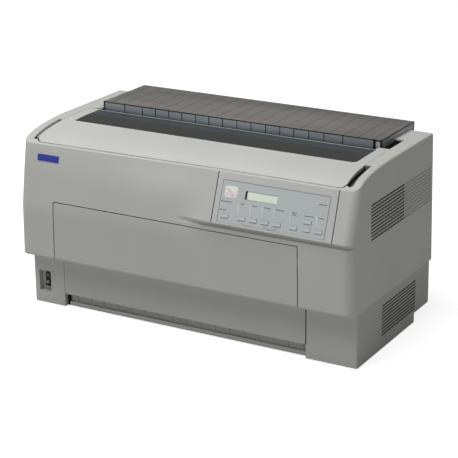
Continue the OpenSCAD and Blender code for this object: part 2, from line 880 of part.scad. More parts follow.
// Platen, shafts and motors, as [y, z]
platen_at = [guide_y0 + 18, case_top - 90];
big_r = gear_m * big_teeth / 2;
pinion_r = gear_m * pinion_teeth / 2;
rear_at = platen_at + 2 * big_r * [cos(rear_dir), sin(rear_dir)];
pinion_at = platen_at + (big_r + pinion_r) * [cos(pinion_dir), sin(pinion_dir)];
front_at = [-case_front + 61, step_z + 33];
rear_slope = -10;
rear_support_at = rear_at + tractor_l * [cos(rear_slope), sin(rear_slope)];
front_support_at = front_at + [0, tractor_l];
rail_z = platen_at[1] - 34;
rail_back_at = [-8, rail_z];
rail_front_at = [-70, rail_z];
journal_r = 4;
platen_journal_r = 6;
support_r = 5;

module side_plate_shape() {
  nose_y0 = -case_front + 39;
  difference() {
    polygon([
      [plate_y0 + 2, plate_top], [bay_y1, plate_top], [bay_y1, bay_top - 32],
      [100, bay_top], [tear_y1 + 4, bay_top], [tear_y1 + 4, tear_z0], [tear_y0 - 3, tear_z0],
      [tear_y0 - 3, bay_top], [-90, bay_top], [nose_y0, platen_at[1]],
      [nose_y0, step_z + 11], [plate_y0 + 2, step_z + 5]
    ]);
    translate(platen_at) circle(r = platen_journal_r + run_gap);
    translate(front_at) circle(r = journal_r + run_gap);
    translate(rear_at) circle(r = journal_r + run_gap);
    translate(front_support_at) circle(r = support_r);
    translate(rear_support_at) circle(r = support_r);
    translate(rail_back_at) circle(r = rail_r);
    translate(rail_front_at) circle(r = rail_r);
    translate(pinion_at) circle(r = pinion_r + gear_m + 1);
  }
}

// A side plate with its bottom flange; s is -1 on the left, 1 on the right
module side_plate(s) {
  color([0.72, 0.72, 0.74]) difference() {
    union() {
      along_x(s > 0 ? bay_hw : -bay_hw - plate_t, s > 0 ? bay_hw + plate_t : -bay_hw)
        side_plate_shape();
      block(
        [s > 0 ? bay_hw - flange_w : -bay_hw, plate_y0 + 2, plate_top],
        [s > 0 ? bay_hw : -bay_hw + flange_w, bay_y1, plate_top + plate_t]
      );
    }
    for (p = screw_places) translate([p[0], p[1], 0]) cylinder(r = 2.2, h = 60);
  }
}

module side_plate_left() { side_plate(-1); }

module side_plate_right() {
  side_plate(1);
  // Bent tab and pin of the belt's idler
  color([0.72, 0.72, 0.74]) {
    block([pulley_x - 16, belt_y - 16, belt_z - 8], [bay_hw, belt_y + 16, belt_z - 8 + plate_t]);
    translate([pulley_x, belt_y, belt_z - 8]) cylinder(r = journal_r, h = 16);
  }
}

module frame_screws() {
  head_z = plate_top + plate_t;
  color([0.6, 0.6, 0.62]) for (p = screw_places) translate([p[0], p[1], 0]) {
    translate([0, 0, head_z]) cylinder(r = 4, h = 2.4);
    translate([0, 0, plate_z]) cylinder(r = 1.95, h = head_z - plate_z + 1);
  }
}

// --- paper feed ---------------------------------------------------------------------------

gear_x0 = bay_hw + plate_t + 2;
gear_w = 6;
pulley_x0 = gear_x0 + gear_w + 1;
pulley_w = 6;
feed_pulley_r = 14;
belt_t = 1.2;

// Spur gear outline with slightly thinned straight-sided teeth
module gear_shape(teeth) {
  pitch_r = gear_m * teeth / 2;
  half_root = 90 / teeth * 1.15;
  half_tip = 90 / teeth * 0.48;
  root_r = pitch_r - 1.2 * gear_m;
  tip_r = pitch_r + 0.9 * gear_m;
  polygon([for (i = [0:teeth - 1], c = [
      [root_r, -half_root], [tip_r, -half_tip], [tip_r, half_tip], [root_r, half_root]
    ]) let (a = i * 360 / teeth + c[1]) c[0] * [cos(a), sin(a)]]);
}

// Gear on the right end of a shaft, its first tooth turned to angle a
module gear_x(teeth, at, a, x0 = gear_x0) {
  translate([x0, at[0], at[1]]) rotate([90, 0, 90]) rotate([0, 0, a])
    linear_extrude(gear_w) gear_shape(teeth);
}

// Angle that puts a gap of a mating gear where the platen gear has a tooth
function mesh_turn(teeth, toward) = toward + 180 + 180 / teeth;

// The platen gear points a tooth at the rear gear
platen_turn = rear_dir;
// The platen gear's tooth phase on the line to the pinion, in pinion degrees
pinion_phase = ((pinion_dir - platen_turn) * big_teeth / 360) % 1 * 360 / pinion_teeth;

module platen() {
  roll = bay_hw - 16;
  color([0.12, 0.12, 0.12])
    rod_x(-roll, roll, platen_at[0], platen_at[1], platen_r);
  color("silver") {
    rod_x(-bay_hw - plate_t - 2, -roll, platen_at[0], platen_at[1], platen_journal_r);
    rod_x(roll, pulley_x0 + pulley_w, platen_at[0], platen_at[1], platen_journal_r);
  }
  color([0.9, 0.9, 0.86]) {
    gear_x(big_teeth, platen_at, platen_turn);
    rod_x(gear_x0 + gear_w, pulley_x0 + pulley_w, platen_at[0], platen_at[1], feed_pulley_r);
  }
}

module feed_pinion() {
  color("goldenrod") difference() {
    gear_x(pinion_teeth, pinion_at, mesh_turn(pinion_teeth, pinion_dir) + pinion_phase);
    rod_x(0, far, pinion_at[0], pinion_at[1], journal_r + run_gap);
  }
}

module feed_motor() {
  motor_r = big_r + pinion_r - platen_r - 2;
  color([0.25, 0.25, 0.27]) rod_x(bay_hw - 52, bay_hw, pinion_at[0], pinion_at[1], motor_r);
  color("silver") rod_x(bay_hw - 1, gear_x0 + gear_w + 1, pinion_at[0], pinion_at[1], journal_r);
}

// Square drive shaft with round journals
module drive_shaft(at, right_end) {
  side = 8;
  square_hw = bay_hw - 4;
  color("silver") {
    translate([0, at[0], at[1]]) cube([2 * square_hw, side, side], center = true);
    rod_x(-bay_hw - plate_t - 2, right_end, at[0], at[1], journal_r);
  }
}

module front_drive_shaft() {
  drive_shaft(front_at, pulley_x0 + pulley_w);
  color([0.9, 0.9, 0.86])
    rod_x(pulley_x0, pulley_x0 + pulley_w, front_at[0], front_at[1], feed_pulley_r);
}

module rear_drive_shaft() {
  drive_shaft(rear_at, gear_x0 + gear_w);
  color([0.9, 0.9, 0.86]) gear_x(big_teeth, rear_at, mesh_turn(big_teeth, rear_dir));
}

module support_shafts() {
  color("silver") for (at = [front_support_at, rear_support_at])
    rod_x(-bay_hw - plate_t, bay_hw + plate_t, at[0], at[1], support_r);
}

// --- tractors -------------------------------------------------------------------------------

pin_pitch = 12.7;
tooth_r = 1.9;
lid_z = tractor_r + 4;
lid_t = 2;
lid_w = 26;
lid_hinge = [tractor_w + 3.2, tractor_r - 1.5];
hinge_pin_r = 1.2;
barrel_r = 2.4;

// Stands a tractor part at its place: at = drive shaft, turn = slope of the paper,
// s = side; in its own frame Y runs along the paper and Z points to the lid
module tractor_place(s, at, turn) {
  translate([s * tractor_x, at[0], at[1]]) rotate([turn, 0, 0])
    mirror([s > 0 ? 0 : 1, 0, 0]) children();
}

module tractor_body() {
  color([0.2, 0.3, 0.5]) difference() {
    union() {
      for (y = [0, tractor_l]) rod_x(0, tractor_w, y, 0, tractor_r);
      block([0, 0, -tractor_r], [tractor_w, tractor_l, tractor_r]);
      // Ears of the lid
      for (y = [4, tractor_l - 7])
        block([tractor_w - 1, y, lid_hinge[1] - 2.4], [lid_hinge[0] + 2.4, y + 3, lid_hinge[1] + 2.4]);
    }
    rod_x(-1, tractor_w + 1, 0, 0, 6);
    rod_x(-1, tractor_w + 1, tractor_l, 0, support_r + run_gap);
  }
  color([0.2, 0.3, 0.5]) {
    for (i = [0:3]) translate([tractor_w / 2 - 2, 3 + i * pin_pitch, tractor_r - 1])
      cylinder(r = tooth_r, h = 3.6);
    translate([lid_hinge[0], 4.5, lid_hinge[1]]) rotate([-90, 0, 0])
      cylinder(r = hinge_pin_r, h = tractor_l - 9);
  }
}

module tractor_lid() {
  color([0.25, 0.36, 0.58]) difference() {
    union() {
      block(
        [lid_hinge[0] + barrel_r - lid_w, -4, lid_z],
        [lid_hinge[0] + barrel_r, tractor_l + 4, lid_z + lid_t]
      );
      block(
        [lid_hinge[0] - 1, 8, lid_hinge[1]],
        [lid_hinge[0] + barrel_r, tractor_l - 8, lid_z + 1]
      );
      translate([lid_hinge[0], 8, lid_hinge[1]]) rotate([-90, 0, 0])
        cylinder(r = barrel_r, h = tractor_l - 16);
    }
    translate([lid_hinge[0], 0, lid_hinge[1]]) rotate([-90, 0, 0])
      cylinder(r = hinge_pin_r + run_gap, h = tractor_l);
    // Slot over the feed pins
    block(
      [tractor_w / 2 - 2 - tooth_r - 1.5, -1, lid_z - 1],
      [tractor_w / 2 - 2 + tooth_r + 1.5, tractor_l + 1, lid_z + lid_t + 1]
    );
  }
}

front_turn = 90;
module front_tractor_left() { tractor_place(-1, front_at, front_turn) tractor_body(); }
module front_tractor_right() { tractor_place(1, front_at, front_turn) tractor_body(); }
module rear_tractor_left() { tractor_place(-1, rear_at, rear_slope) tractor_body(); }
module rear_tractor_right() { tractor_place(1, rear_at, rear_slope) tractor_body(); }
module front_lid_left() { tractor_place(-1, front_at, front_turn) tractor_lid(); }
module front_lid_right() { tractor_place(1, front_at, front_turn) tractor_lid(); }
module rear_lid_left() { tractor_place(-1, rear_at, rear_slope) tractor_lid(); }
module rear_lid_right() { tractor_place(1, rear_at, rear_slope) tractor_lid(); }

// --- carriage, head and ribbon ----------------------------------------------------------------

carriage_w = 70;
carriage_z0 = rail_z - 14;
carriage_z1 = rail_z + 24;
belt_y = -39;
belt_z = carriage_z0 - 9;
belt_h = 6;
belt_pulley_r = 12;
pulley_x = bay_hw - 34;
head_gap = 2.2;
nose_at = platen_at[0] - platen_r - head_gap;
ribbon_t = 0.4;

module carriage_shafts() {
  color("silver") for (at = [rail_back_at, rail_front_at])
    rod_x(-bay_hw - plate_t, bay_hw + plate_t, at[0], at[1], rail_r);
}

module carriage() {
  color([0.2, 0.2, 0.22]) difference() {
    union() {
      block(
        [-carriage_w / 2, rail_front_at[0] - 13, carriage_z0],
        [carriage_w / 2, rail_back_at[0] + 13, carriage_z0 + 28]
      );
      // Head seat
      block([-26, -40, carriage_z0 + 27], [26, rail_back_at[0] + 13, carriage_z1 - 4]);
      // Belt clamp
      block(
        [-12, belt_y - belt_pulley_r + 0.4, belt_z - belt_h / 2 - 1],
        [12, belt_y - belt_pulley_r + 5, carriage_z0 + 1]
      );
    }
    for (at = [rail_back_at, rail_front_at])
      rod_x(-far, far, at[0], at[1], rail_r + run_gap);
  }
}

module print_head() {
  color([0.15, 0.15, 0.16]) {
    // Finned heat sink
    for (i = [0:7])
      block([-24, -38 + i * 6, carriage_z1 - 4], [24, -38 + i * 6 + 3, carriage_z1 + 34]);
    block([-21, -38, carriage_z1 - 4], [21, 7, carriage_z1 + 26]);
    // Nose
    block([-8, 6, platen_at[1] - 12], [8, nose_at, platen_at[1] + 8]);
  }
}

cart_hw = bay_hw - 27;
cart_y0 = -142;
cart_y1 = -92;
cart_z0 = platen_at[1];
cart_z1 = cart_z0 + 24;
arm_w = 20;

module ribbon_cartridge() {
  color([0.13, 0.13, 0.13]) difference() {
    union() {
      block([-cart_hw, cart_y0 + 10, cart_z0], [cart_hw, cart_y1, cart_z1]);
      for (s = [-1, 1]) translate([s * (cart_hw - arm_w / 2), 0, 0])
        block([-arm_w / 2, cart_y1 - 1, cart_z0], [arm_w / 2, nose_at - 4, cart_z0 + 12]);
      // Seats that reach the side plates
      for (s = [-1, 1]) translate([s * (bay_hw + cart_hw) / 2, 0, 0])
        block([-(bay_hw - cart_hw) / 2, -120, cart_z0], [(bay_hw - cart_hw) / 2, -100, cart_z0 + 8]);
    }
    translate([knob_at[0], knob_at[1], cart_z1 - 6]) cylinder(r = journal_r + run_gap, h = 7);
  }
  // Ink ribbon between the arms
  color([0.05, 0.05, 0.05]) {
    block(
      [-cart_hw + arm_w - 1, nose_at + 0.6, cart_z0 - 4],
      [cart_hw - arm_w + 1, nose_at + 0.6 + ribbon_t, cart_z0 + 9]
    );
    for (s = [-1, 1]) translate([s * (cart_hw - arm_w + 1), 0, 0])
      block([-1, nose_at - 6, cart_z0 + 1], [1, nose_at + 0.6 + ribbon_t, cart_z0 + 9]);
  }
}

knob_at = [cart_hw - 42, -117];
knob_r = 13;

module ribbon_knob() {
  color([0.3, 0.3, 0.32]) translate([knob_at[0], knob_at[1], 0]) {
    translate([0, 0, cart_z1 - 5]) cylinder(r = journal_r, h = 6);
    translate([0, 0, cart_z1 + 0.3]) difference() {
      cylinder(r = knob_r, h = 9);
      for (i = [0:11]) rotate([0, 0, i * 30]) translate([knob_r, 0, -1]) cylinder(r = 1.6, h = 11);
    }
  }
}

// Pulley with flanges; its bore runs on a fixed shaft
module belt_pulley(x) {
  color("goldenrod") translate([x, belt_y, belt_z]) difference() {
    union() {
      cylinder(r = belt_pulley_r - 0.3, h = belt_h, center = true);
      for (s = [-1, 1]) translate([0, 0, s * (belt_h / 2 + 1)])
        cylinder(r = belt_pulley_r - 0.3, h = 2, center = true);
    }
    cylinder(r = journal_r + run_gap, h = 40, center = true);
  }
}

module drive_pulley() { belt_pulley(-pulley_x); }
module idler_pulley() { belt_pulley(pulley_x); }

module carriage_motor() {
  flange_z = belt_z - 8;
  color([0.25, 0.25, 0.27]) {
    translate([-pulley_x, belt_y, flange_z - 52]) cylinder(r = 28, h = 52);
    block([-bay_hw, belt_y - 30, flange_z], [-pulley_x + 30, belt_y + 30, flange_z + plate_t]);
  }
  color("silver") translate([-pulley_x, belt_y, flange_z]) cylinder(r = journal_r, h = 16);
}

// Closed belt around two pulleys of one radius, in its own plane
module belt_loop(l, r, t) {
  difference() {
    union() {
      for (x = [0, l]) translate([x, 0]) circle(r = r + t);
      translate([0, -r - t]) square([l, 2 * (r + t)]);
    }
    for (x = [0, l]) translate([x, 0]) circle(r = r);
    translate([0, -r]) square([l, 2 * r]);
  }
}

module timing_belts() {
  run = platen_at - front_at;
  color([0.1, 0.1, 0.1]) {
    translate([-pulley_x, belt_y, belt_z - belt_h / 2]) linear_extrude(belt_h)
      belt_loop(2 * pulley_x, belt_pulley_r, belt_t);
    translate([pulley_x0 + 0.2, front_at[0], front_at[1]]) rotate([90, 0, 90])
      rotate([0, 0, atan2(run[1], run[0])]) linear_extrude(pulley_w - 0.4)
        belt_loop(norm(run), feed_pulley_r + 0.3, belt_t);
  }
}

// --- electrics -------------------------------------------------------------------------------

fan_d = 25;
fan_y1 = base_back - wall;
fan_bore_r = fan_size / 2 - 3;

module fan_housing() {
  color([0.12, 0.12, 0.12]) translate([fan_at[0], fan_y1, fan_at[1]]) rotate([90, 0, 0]) {
    difference() {
      translate([-fan_size / 2, -fan_size / 2, 0]) cube([fan_size, fan_size, fan_d]);
      translate([0, 0, -1]) cylinder(r = fan_bore_r, h = fan_d + 2);
    }
    // Three spokes, the motor seat and its shaft
    for (a = [90, 210, 330]) rotate([0, 0, a])
      translate([0, -2, 0]) cube([fan_bore_r + 1, 4, 3]);
    cylinder(r = 15, h = 4);
    cylinder(r = 2, h = fan_d - 4);
  }
}

module fan_rotor() {
  blade_r = fan_bore_r - 1.5;
  color([0.18, 0.18, 0.18]) translate([fan_at[0], fan_y1, fan_at[1]]) rotate([90, 0, 0])
    difference() {
      union() {
        translate([0, 0, 5]) cylinder(r = 15, h = fan_d - 7);
        for (i = [0:6]) rotate([0, 0, i * 360 / 7]) translate([14, 0, 5 + (fan_d - 7) / 2])
          rotate([35, 0, 0]) translate([0, -1, -7]) cube([blade_r - 15.5, 2, 14]);
      }
      translate([0, 0, 4]) cylinder(r = 2 + run_gap, h = fan_d - 7);
    }
}

module power_supply() {
  x0 = -bay_hw + 19;
  top = plate_top + 62;
  color([0.75, 0.75, 0.76]) difference() {
    block([x0, 15, plate_top], [x0 + 170, plate_y1 - 14, top]);
    for (i = [0:9]) translate([x0 + 20 + i * 15, 40, top - 1]) cube([5, 60, 2]);
  }
}

board_x0 = -95;
board_x1 = 160;
board_y1 = plate_y1 - 2;
board_z = plate_top + 6;

module main_board() {
  color([0.2, 0.42, 0.26])
    block([board_x0, 0, board_z], [board_x1, board_y1, board_z + board_t]);
  color("silver")
    for (x = [board_x0 + 8, board_x1 - 8], y = [8, board_y1 - 14])
      translate([x, y, plate_top]) cylinder(r = 4, h = 6);
  color([0.15, 0.15, 0.15]) {
    for (i = [0:3]) translate([board_x0 + 20 + i * 55, 30, board_z + board_t - 0.1]) cube([32, 32, 4]);
    for (i = [0:4]) translate([board_x0 + 30 + i * 45, 90, board_z + board_t - 0.1])
      cylinder(r = 6, h = 18);
  }
}

module interface_connectors() {
  z0 = board_z + board_t;
  parallel_w = 50;
  serial_w = 28;
  color([0.75, 0.75, 0.77]) {
    translate([port_at[0] - 12, 0, 0]) difference() {
      block([-parallel_w / 2, board_y1 - 22, z0], [parallel_w / 2, base_back + 3, z0 + 20]);
      block([-parallel_w / 2 + 3, base_back - 9, z0 + 2.5], [parallel_w / 2 - 3, base_back + 4, z0 + 17.5]);
    }
    translate([port_at[0] + 30, 0, 0]) difference() {
      block([-serial_w / 2, board_y1 - 22, z0], [serial_w / 2, base_back + 3, z0 + 18]);
      block([-serial_w / 2 + 3, base_back - 9, z0 + 2.5], [serial_w / 2 - 3, base_back + 4, z0 + 15.5]);
    }
  }
  color([0.1, 0.1, 0.1]) {
    translate([port_at[0] - 12, 0, 0])
      block([-parallel_w / 2 + 8, base_back - 9, z0 + 8.5], [parallel_w / 2 - 8, base_back + 1, z0 + 11.5]);
    translate([port_at[0] + 30, 0, 0])
      block([-5, base_back - 9, z0 + 8], [5, base_back + 1, z0 + 10]);
  }
}

module ac_inlet() {
  depth = 18;
  color([0.1, 0.1, 0.1]) translate([inlet_at[0], base_back, inlet_at[1]]) {
    difference() {
      union() {
        block([-14, -depth, -10], [14, 1, 10]);
        block([-20, 0, -14], [20, 2.5, 14]);
      }
      block([-11.5, 3 - depth, -7.5], [11.5, 4, 7.5]);
    }
  }
  color("silver") translate([inlet_at[0], base_back, inlet_at[1]])
    for (p = [[-7, -1], [0, 3], [7, -1]])
      block([p[0] - 1, 2 - depth, p[1] - 2], [p[0] + 1, -3, p[1] + 2]);
}

base_housing();
upper_casing();
front_door();
lower_front_cover();
paper_entry_guide();
printer_cover();
cover_window();
tear_bar();
paper_guide();
hinge_pins();
panel_bezel();
panel_overlay();
lcd_display();
panel_board();
key_1();
key_2();
key_3();
key_4();
key_5();
key_6();
key_7();
key_8();
key_9();
power_rocker();
switch_body();
blank_badge();
rubber_feet();
base_plate();
side_plate_left();
side_plate_right();
frame_screws();
platen();
feed_pinion();
feed_motor();
front_drive_shaft();
rear_drive_shaft();
support_shafts();
front_tractor_left();
front_tractor_right();
rear_tractor_left();
rear_tractor_right();
front_lid_left();
front_lid_right();
rear_lid_left();
rear_lid_right();
carriage_shafts();
carriage();
print_head();
ribbon_cartridge();
ribbon_knob();
carriage_motor();
drive_pulley();
idler_pulley();
timing_belts();
fan_housing();
fan_rotor();
power_supply();
main_board();
interface_connectors();
ac_inlet();
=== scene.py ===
"""Looks of a wide-carriage dot matrix printer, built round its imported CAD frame.

Lengths are written in millimetres and scaled to metres when a mesh is made.
X runs to the printer's right, Y to its back and Z up.
"""

import json
import math

import bmesh
import bpy
from mathutils import Matrix, Vector


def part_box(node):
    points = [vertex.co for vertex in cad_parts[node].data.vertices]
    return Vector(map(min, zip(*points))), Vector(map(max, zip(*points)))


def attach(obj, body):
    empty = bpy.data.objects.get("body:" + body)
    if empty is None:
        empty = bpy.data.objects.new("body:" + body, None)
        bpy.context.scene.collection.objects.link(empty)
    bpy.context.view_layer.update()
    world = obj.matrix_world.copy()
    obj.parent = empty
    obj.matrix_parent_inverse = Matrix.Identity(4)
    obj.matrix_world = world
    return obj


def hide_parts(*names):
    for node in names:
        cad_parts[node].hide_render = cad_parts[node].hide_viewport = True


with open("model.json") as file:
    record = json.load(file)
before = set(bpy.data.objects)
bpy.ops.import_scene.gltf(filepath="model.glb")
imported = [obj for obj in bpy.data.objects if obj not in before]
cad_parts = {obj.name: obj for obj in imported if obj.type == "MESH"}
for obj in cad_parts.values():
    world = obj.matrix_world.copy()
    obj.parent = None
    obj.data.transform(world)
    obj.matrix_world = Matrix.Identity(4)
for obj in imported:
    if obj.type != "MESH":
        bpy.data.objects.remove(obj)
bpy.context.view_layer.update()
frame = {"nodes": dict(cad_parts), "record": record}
MM = 0.001


def node_box(name):
    """Lowest and highest corner of a CAD node, in millimetres."""
    low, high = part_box(name)
    return low / MM, high / MM


# --- camera -----------------------------

# Solved on the photograph, in metres, degrees and the lens's millimetres
EYE = Vector((1.454, -2.517, 1.168))
TARGET = Vector((0, 0, 0.170))
ROLL = -0.586
LENS = 127.51
SENSOR = 36
SHIFT_X = -0.00023
SHIFT_Y = -0.0150


def make_camera():
    """The photograph's view: the front from above, turned to the printer's right."""
    roll = math.radians(ROLL)
    forward = (TARGET - EYE).normalized()
    right = forward.cross(Vector((0, 0, 1))).normalized()
    up = right.cross(forward)
    x_axis = math.cos(roll) * right + math.sin(roll) * up
    y_axis = -math.sin(roll) * right + math.cos(roll) * up
    turn = Matrix((x_axis, y_axis, -forward)).transposed()
    data = bpy.data.cameras.new("camera")
    data.lens = LENS
    data.sensor_width = SENSOR
    data.shift_x = SHIFT_X
    data.shift_y = SHIFT_Y
    camera = bpy.data.objects.new("camera", data)
    camera.matrix_world = Matrix.Translation(EYE) @ turn.to_4x4()
    bpy.context.scene.collection.objects.link(camera)
    bpy.context.scene.camera = camera


make_camera()
bpy.context.scene.view_settings.view_transform = "Standard"


# --- material helpers -------------------

MATERIALS = {}
# The colour sockets of a mix node
MIX_A = 6
MIX_B = 7
MIX_OUT = 2


def linear(red, green, blue):
    """A colour as a screen shows it, 0 to 255, as linear light."""
    def channel(value):
        share = value / 255
        if share <= 0.04045:
            return share / 12.92
        return ((share + 0.055) / 1.055) ** 2.4
    return (channel(red), channel(green), channel(blue), 1)


def scaled(color, factor):
    """A lighter or darker shade of a colour."""
    return tuple(min(1, c * factor) for c in color[:3]) + (1,)


def add_node(tree, kind, settings=None):
    """A new shader node with some of its inputs set."""
    node = tree.nodes.new("ShaderNode" + kind)
    for name, value in (settings or {}).items():
        node.inputs[name].default_value = value
    return node


class Shader:
    """A new material with its principled shader and short ways to add nodes."""

    def __init__(self, name, **settings):
        material = bpy.data.materials.new(name)
        material.use_nodes = True
        MATERIALS[name] = material
        self.tree = material.node_tree
        self.surface = self.tree.nodes["Principled BSDF"].inputs
        for key, value in settings.items():
            self.surface[key.replace("_", " ")].default_value = value
        self.coords = self.add("TexCoord").outputs

    def add(self, kind, settings=None):
        return add_node(self.tree, kind, settings)

    def link(self, output, socket):
        self.tree.links.new(output, socket)

    def stretched(self, scale):
        """The piece's own coordinates, scaled apart along its axes."""
        mapping = self.add("Mapping", {"Scale": scale})
        self.link(self.coords["Object"], mapping.inputs["Vector"])
        return mapping.outputs["Vector"]

    def noise(self, scale, detail=2, vector=None):
        node = self.add("TexNoise", {"Scale": scale, "Detail": detail})
        self.link(vector or self.coords["Object"], node.inputs["Vector"])
        return node.outputs["Fac"]

    def spread(self, value, low, high):
        """Maps the middle of a value's range onto low to high."""
        node = self.add(
            "MapRange", {"From Min": 0.3, "From Max": 0.7, "To Min": low, "To Max": high}
        )
        self.link(value, node.inputs["Value"])
        return node.outputs["Result"]

    def sideways(self):
        """One on faces that look left or right, zero on the others: the mask of the painted shade
        on the sides.
        """
        parts = self.add("SeparateXYZ")
        self.link(self.coords["Normal"], parts.inputs["Vector"])
        size = self.add("Math")
        size.operation = "ABSOLUTE"
        self.link(parts.outputs["X"], size.inputs[0])
        return self.spread(size.outputs["Value"], 0, 1)

    def mix(self, factor, first, second):
        """A blend of two colours, or of two colour outputs."""
        node = self.add("Mix")
        node.data_type = "RGBA"
        self.link(factor, node.inputs["Factor"])
        for socket, color in ((MIX_A, first), (MIX_B, second)):
            if isinstance(color, tuple):
                node.inputs[socket].default_value = color
            else:
                self.link(color, node.inputs[socket])
        return node.outputs[MIX_OUT]

    def shades(self, factor, color, low, high):
        """A colour that wanders between two of its own shades."""
        return self.mix(factor, scaled(color, low), scaled(color, high))

    def color(self, output):
        self.link(output, self.surface["Base Color"])

    def roughness(self, value, low, high):
        self.link(self.spread(value, low, high), self.surface["Roughness"])

    def bump(self, height, strength, distance):
        node = self.add("Bump", {"Strength": strength, "Distance": distance})
        self.link(height, node.inputs["Height"])
        self.link(node.outputs["Normal"], self.surface["Normal"])


def plastic(name, color, rough=0.55, tone=0.03, grain=0.00012, painted_side_shade=1):
    """Moulded plastic with spark-eroded grain and faint unevenness of tone.

    Faces that look left or right take the colour times the last factor, a painted shade on the
    sides.
    """
    s = Shader(name, Specular_IOR_Level=0.35)
    clouds = s.spread(s.noise(7, 3), 0, 1)
    skin = s.shades(clouds, color, 1 - tone, 1 + tone)
    # Painted shade: faces that look sideways take a darker copy of the colour
    if painted_side_shade != 1:
        side = s.shades(clouds, color, painted_side_shade * (1 - tone), painted_side_shade * (1 + tone))
        skin = s.mix(s.sideways(), skin, side)
    s.color(skin)
    s.roughness(s.noise(60, 3), rough - 0.05, rough + 0.05)
    s.bump(s.noise(1500, 2), 0.5, grain)


def metal(name, color, rough):
    """Rolled or ground metal: fine lines along one axis."""
    s = Shader(name, Metallic=0.9)
    lines = s.noise(1, 3, s.stretched((4, 900, 900)))
    s.color(s.shades(s.spread(lines, 0, 1), color, 0.94, 1.06))
    s.roughness(lines, rough - 0.08, rough + 0.08)
    s.bump(lines, 0.2, 0.00005)


def rubber(name, color):
    """Dull rubber with a ground, dusty surface."""
    s = Shader(name, Specular_IOR_Level=0.2)
    dust = s.spread(s.noise(35, 4), 0, 1)
    s.color(s.shades(dust, color, 1, 1.6))
    s.roughness(s.noise(200, 2), 0.7, 0.9)
    s.bump(s.noise(1800, 1), 0.5, 0.0001)


def smoked(name, color, alpha, rough=0.08):
    """Smoke-tinted clear plastic with faint flow marks and fine scratches."""
    s = Shader(name, Alpha=alpha, IOR=1.49, Specular_IOR_Level=0.5)
    flow = s.spread(s.noise(1, 2, s.stretched((5, 26, 26))), 0, 1)
    s.color(s.shades(flow, color, 0.9, 1.12))
    s.roughness(s.noise(1, 3, s.stretched((30, 700, 30))), rough, rough + 0.1)
    s.bump(s.noise(14, 2), 0.06, 0.0006)


def board(name, color):
    """Circuit board: green solder mask with tracks and pads."""
    s = Shader(name, Specular_IOR_Level=0.5)
    brick = s.add("TexBrick", {
        "Scale": 90,
        "Mortar Size": 0.06,
        "Color1": color,
        "Color2": scaled(color, 0.8),
        "Mortar": scaled(color, 1.9),
    })
    s.link(s.coords["Object"], brick.inputs["Vector"])
    s.color(brick.outputs["Color"])
    s.roughness(s.noise(80, 2), 0.3, 0.45)
    s.bump(brick.outputs["Fac"], 0.3, 0.00005)


# --- materials --------------------------

CASING = linear(203, 203, 198)

plastic("casing_grey", CASING)
# The base's sides are 15 % darker than its front: a painted shade for the shadow under the
# casing's hem
plastic("base_grey_painted_side_shade", CASING, painted_side_shade=0.85)
plastic("door_grey", linear(199, 200, 196))
plastic("cover_grey", linear(206, 207, 204), rough=0.5)
plastic("edge_wear", scaled(CASING, 1.12), rough=0.42)
# Darker copies of the casing plastic: painted shade in the finger grips' wells
plastic("grip_soft_painted_shade", linear(186, 188, 184), rough=0.5)
plastic("grip_deep_painted_shade", linear(112, 116, 111), rough=0.5)
# Near-black: the colour of marks and print, and also a painted shade inside gaps and slots
plastic("black_and_painted_gap_shade", linear(17, 18, 18), rough=0.8)
plastic("badge_blue", linear(62, 74, 168), rough=0.3, grain=0.00004)
plastic("black_plastic", linear(38, 39, 41), rough=0.45)
plastic("head_black", linear(44, 45, 48), rough=0.6)
plastic("key_plastic", linear(208, 212, 214), rough=0.45)
plastic("knob_grey", linear(120, 121, 124), rough=0.5)
plastic("motor_paint", linear(52, 53, 56), rough=0.4)
plastic("tractor_blue", linear(66, 88, 128), rough=0.4)
plastic("lid_blue", linear(84, 108, 150), rough=0.4)

smoked("smoke_window", linear(60, 62, 58), 0.9)
smoked("smoke_back", linear(66, 76, 82), 0.9)
smoked("smoke_guide", linear(133, 130, 126), 0.9, rough=0.25)
smoked("smoke_front", linear(164, 170, 175), 0.85, rough=0.2)
smoked("smoke_edge", linear(38, 40, 42), 0.97, rough=0.15)

plastic("overlay_film", linear(200, 206, 207), rough=0.38, tone=0.015)
plastic("lcd_glass", linear(243, 253, 238), rough=0.12, grain=0.00002)
plastic("print_dark", linear(122, 129, 134), rough=0.5)
plastic("print_red", linear(216, 188, 186), rough=0.5)
plastic("print_blue", linear(160, 186, 202), rough=0.5)
plastic("print_light", linear(226, 230, 230), rough=0.4)
plastic("sticker", linear(244, 240, 234), rough=0.35, tone=0.08)

metal("tear_steel", linear(176, 186, 192), rough=0.4)
metal("pin_steel", linear(190, 190, 194), rough=0.3)
metal("plate_steel", linear(172, 174, 178), rough=0.45)
metal("pinion_brass", linear(205, 170, 100), rough=0.35)
metal("shaft_steel", linear(200, 200, 204), rough=0.2)
metal("supply_metal", linear(186, 188, 190), rough=0.5)
metal("connector_metal", linear(190, 192, 196), rough=0.35)

rubber("foot_rubber", linear(40, 40, 42))
rubber("belt_rubber", linear(32, 32, 33))
rubber("platen_rubber", linear(36, 37, 39))
board("board_green", linear(30, 92, 55))


# --- mesh helpers -----------------------


def piece_from(name, bm, body, materials):
    """Turns a mesh built in millimetres into a piece that rides on a body."""
    bmesh.ops.scale(bm, vec=(MM, MM, MM), verts=bm.verts)
    mesh = bpy.data.meshes.new(name)
    bm.to_mesh(mesh)
    bm.free()
    for key in materials:
        mesh.materials.append(MATERIALS[key])
    piece = bpy.data.objects.new(name, mesh)
    bpy.context.scene.collection.objects.link(piece)
    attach(piece, body)
    return piece


def bake(piece):
    """Applies a piece's modifiers to its mesh."""
    graph = bpy.context.evaluated_depsgraph_get()
    mesh = bpy.data.meshes.new_from_object(piece.evaluated_get(graph))
    piece.modifiers.clear()
    piece.data = mesh


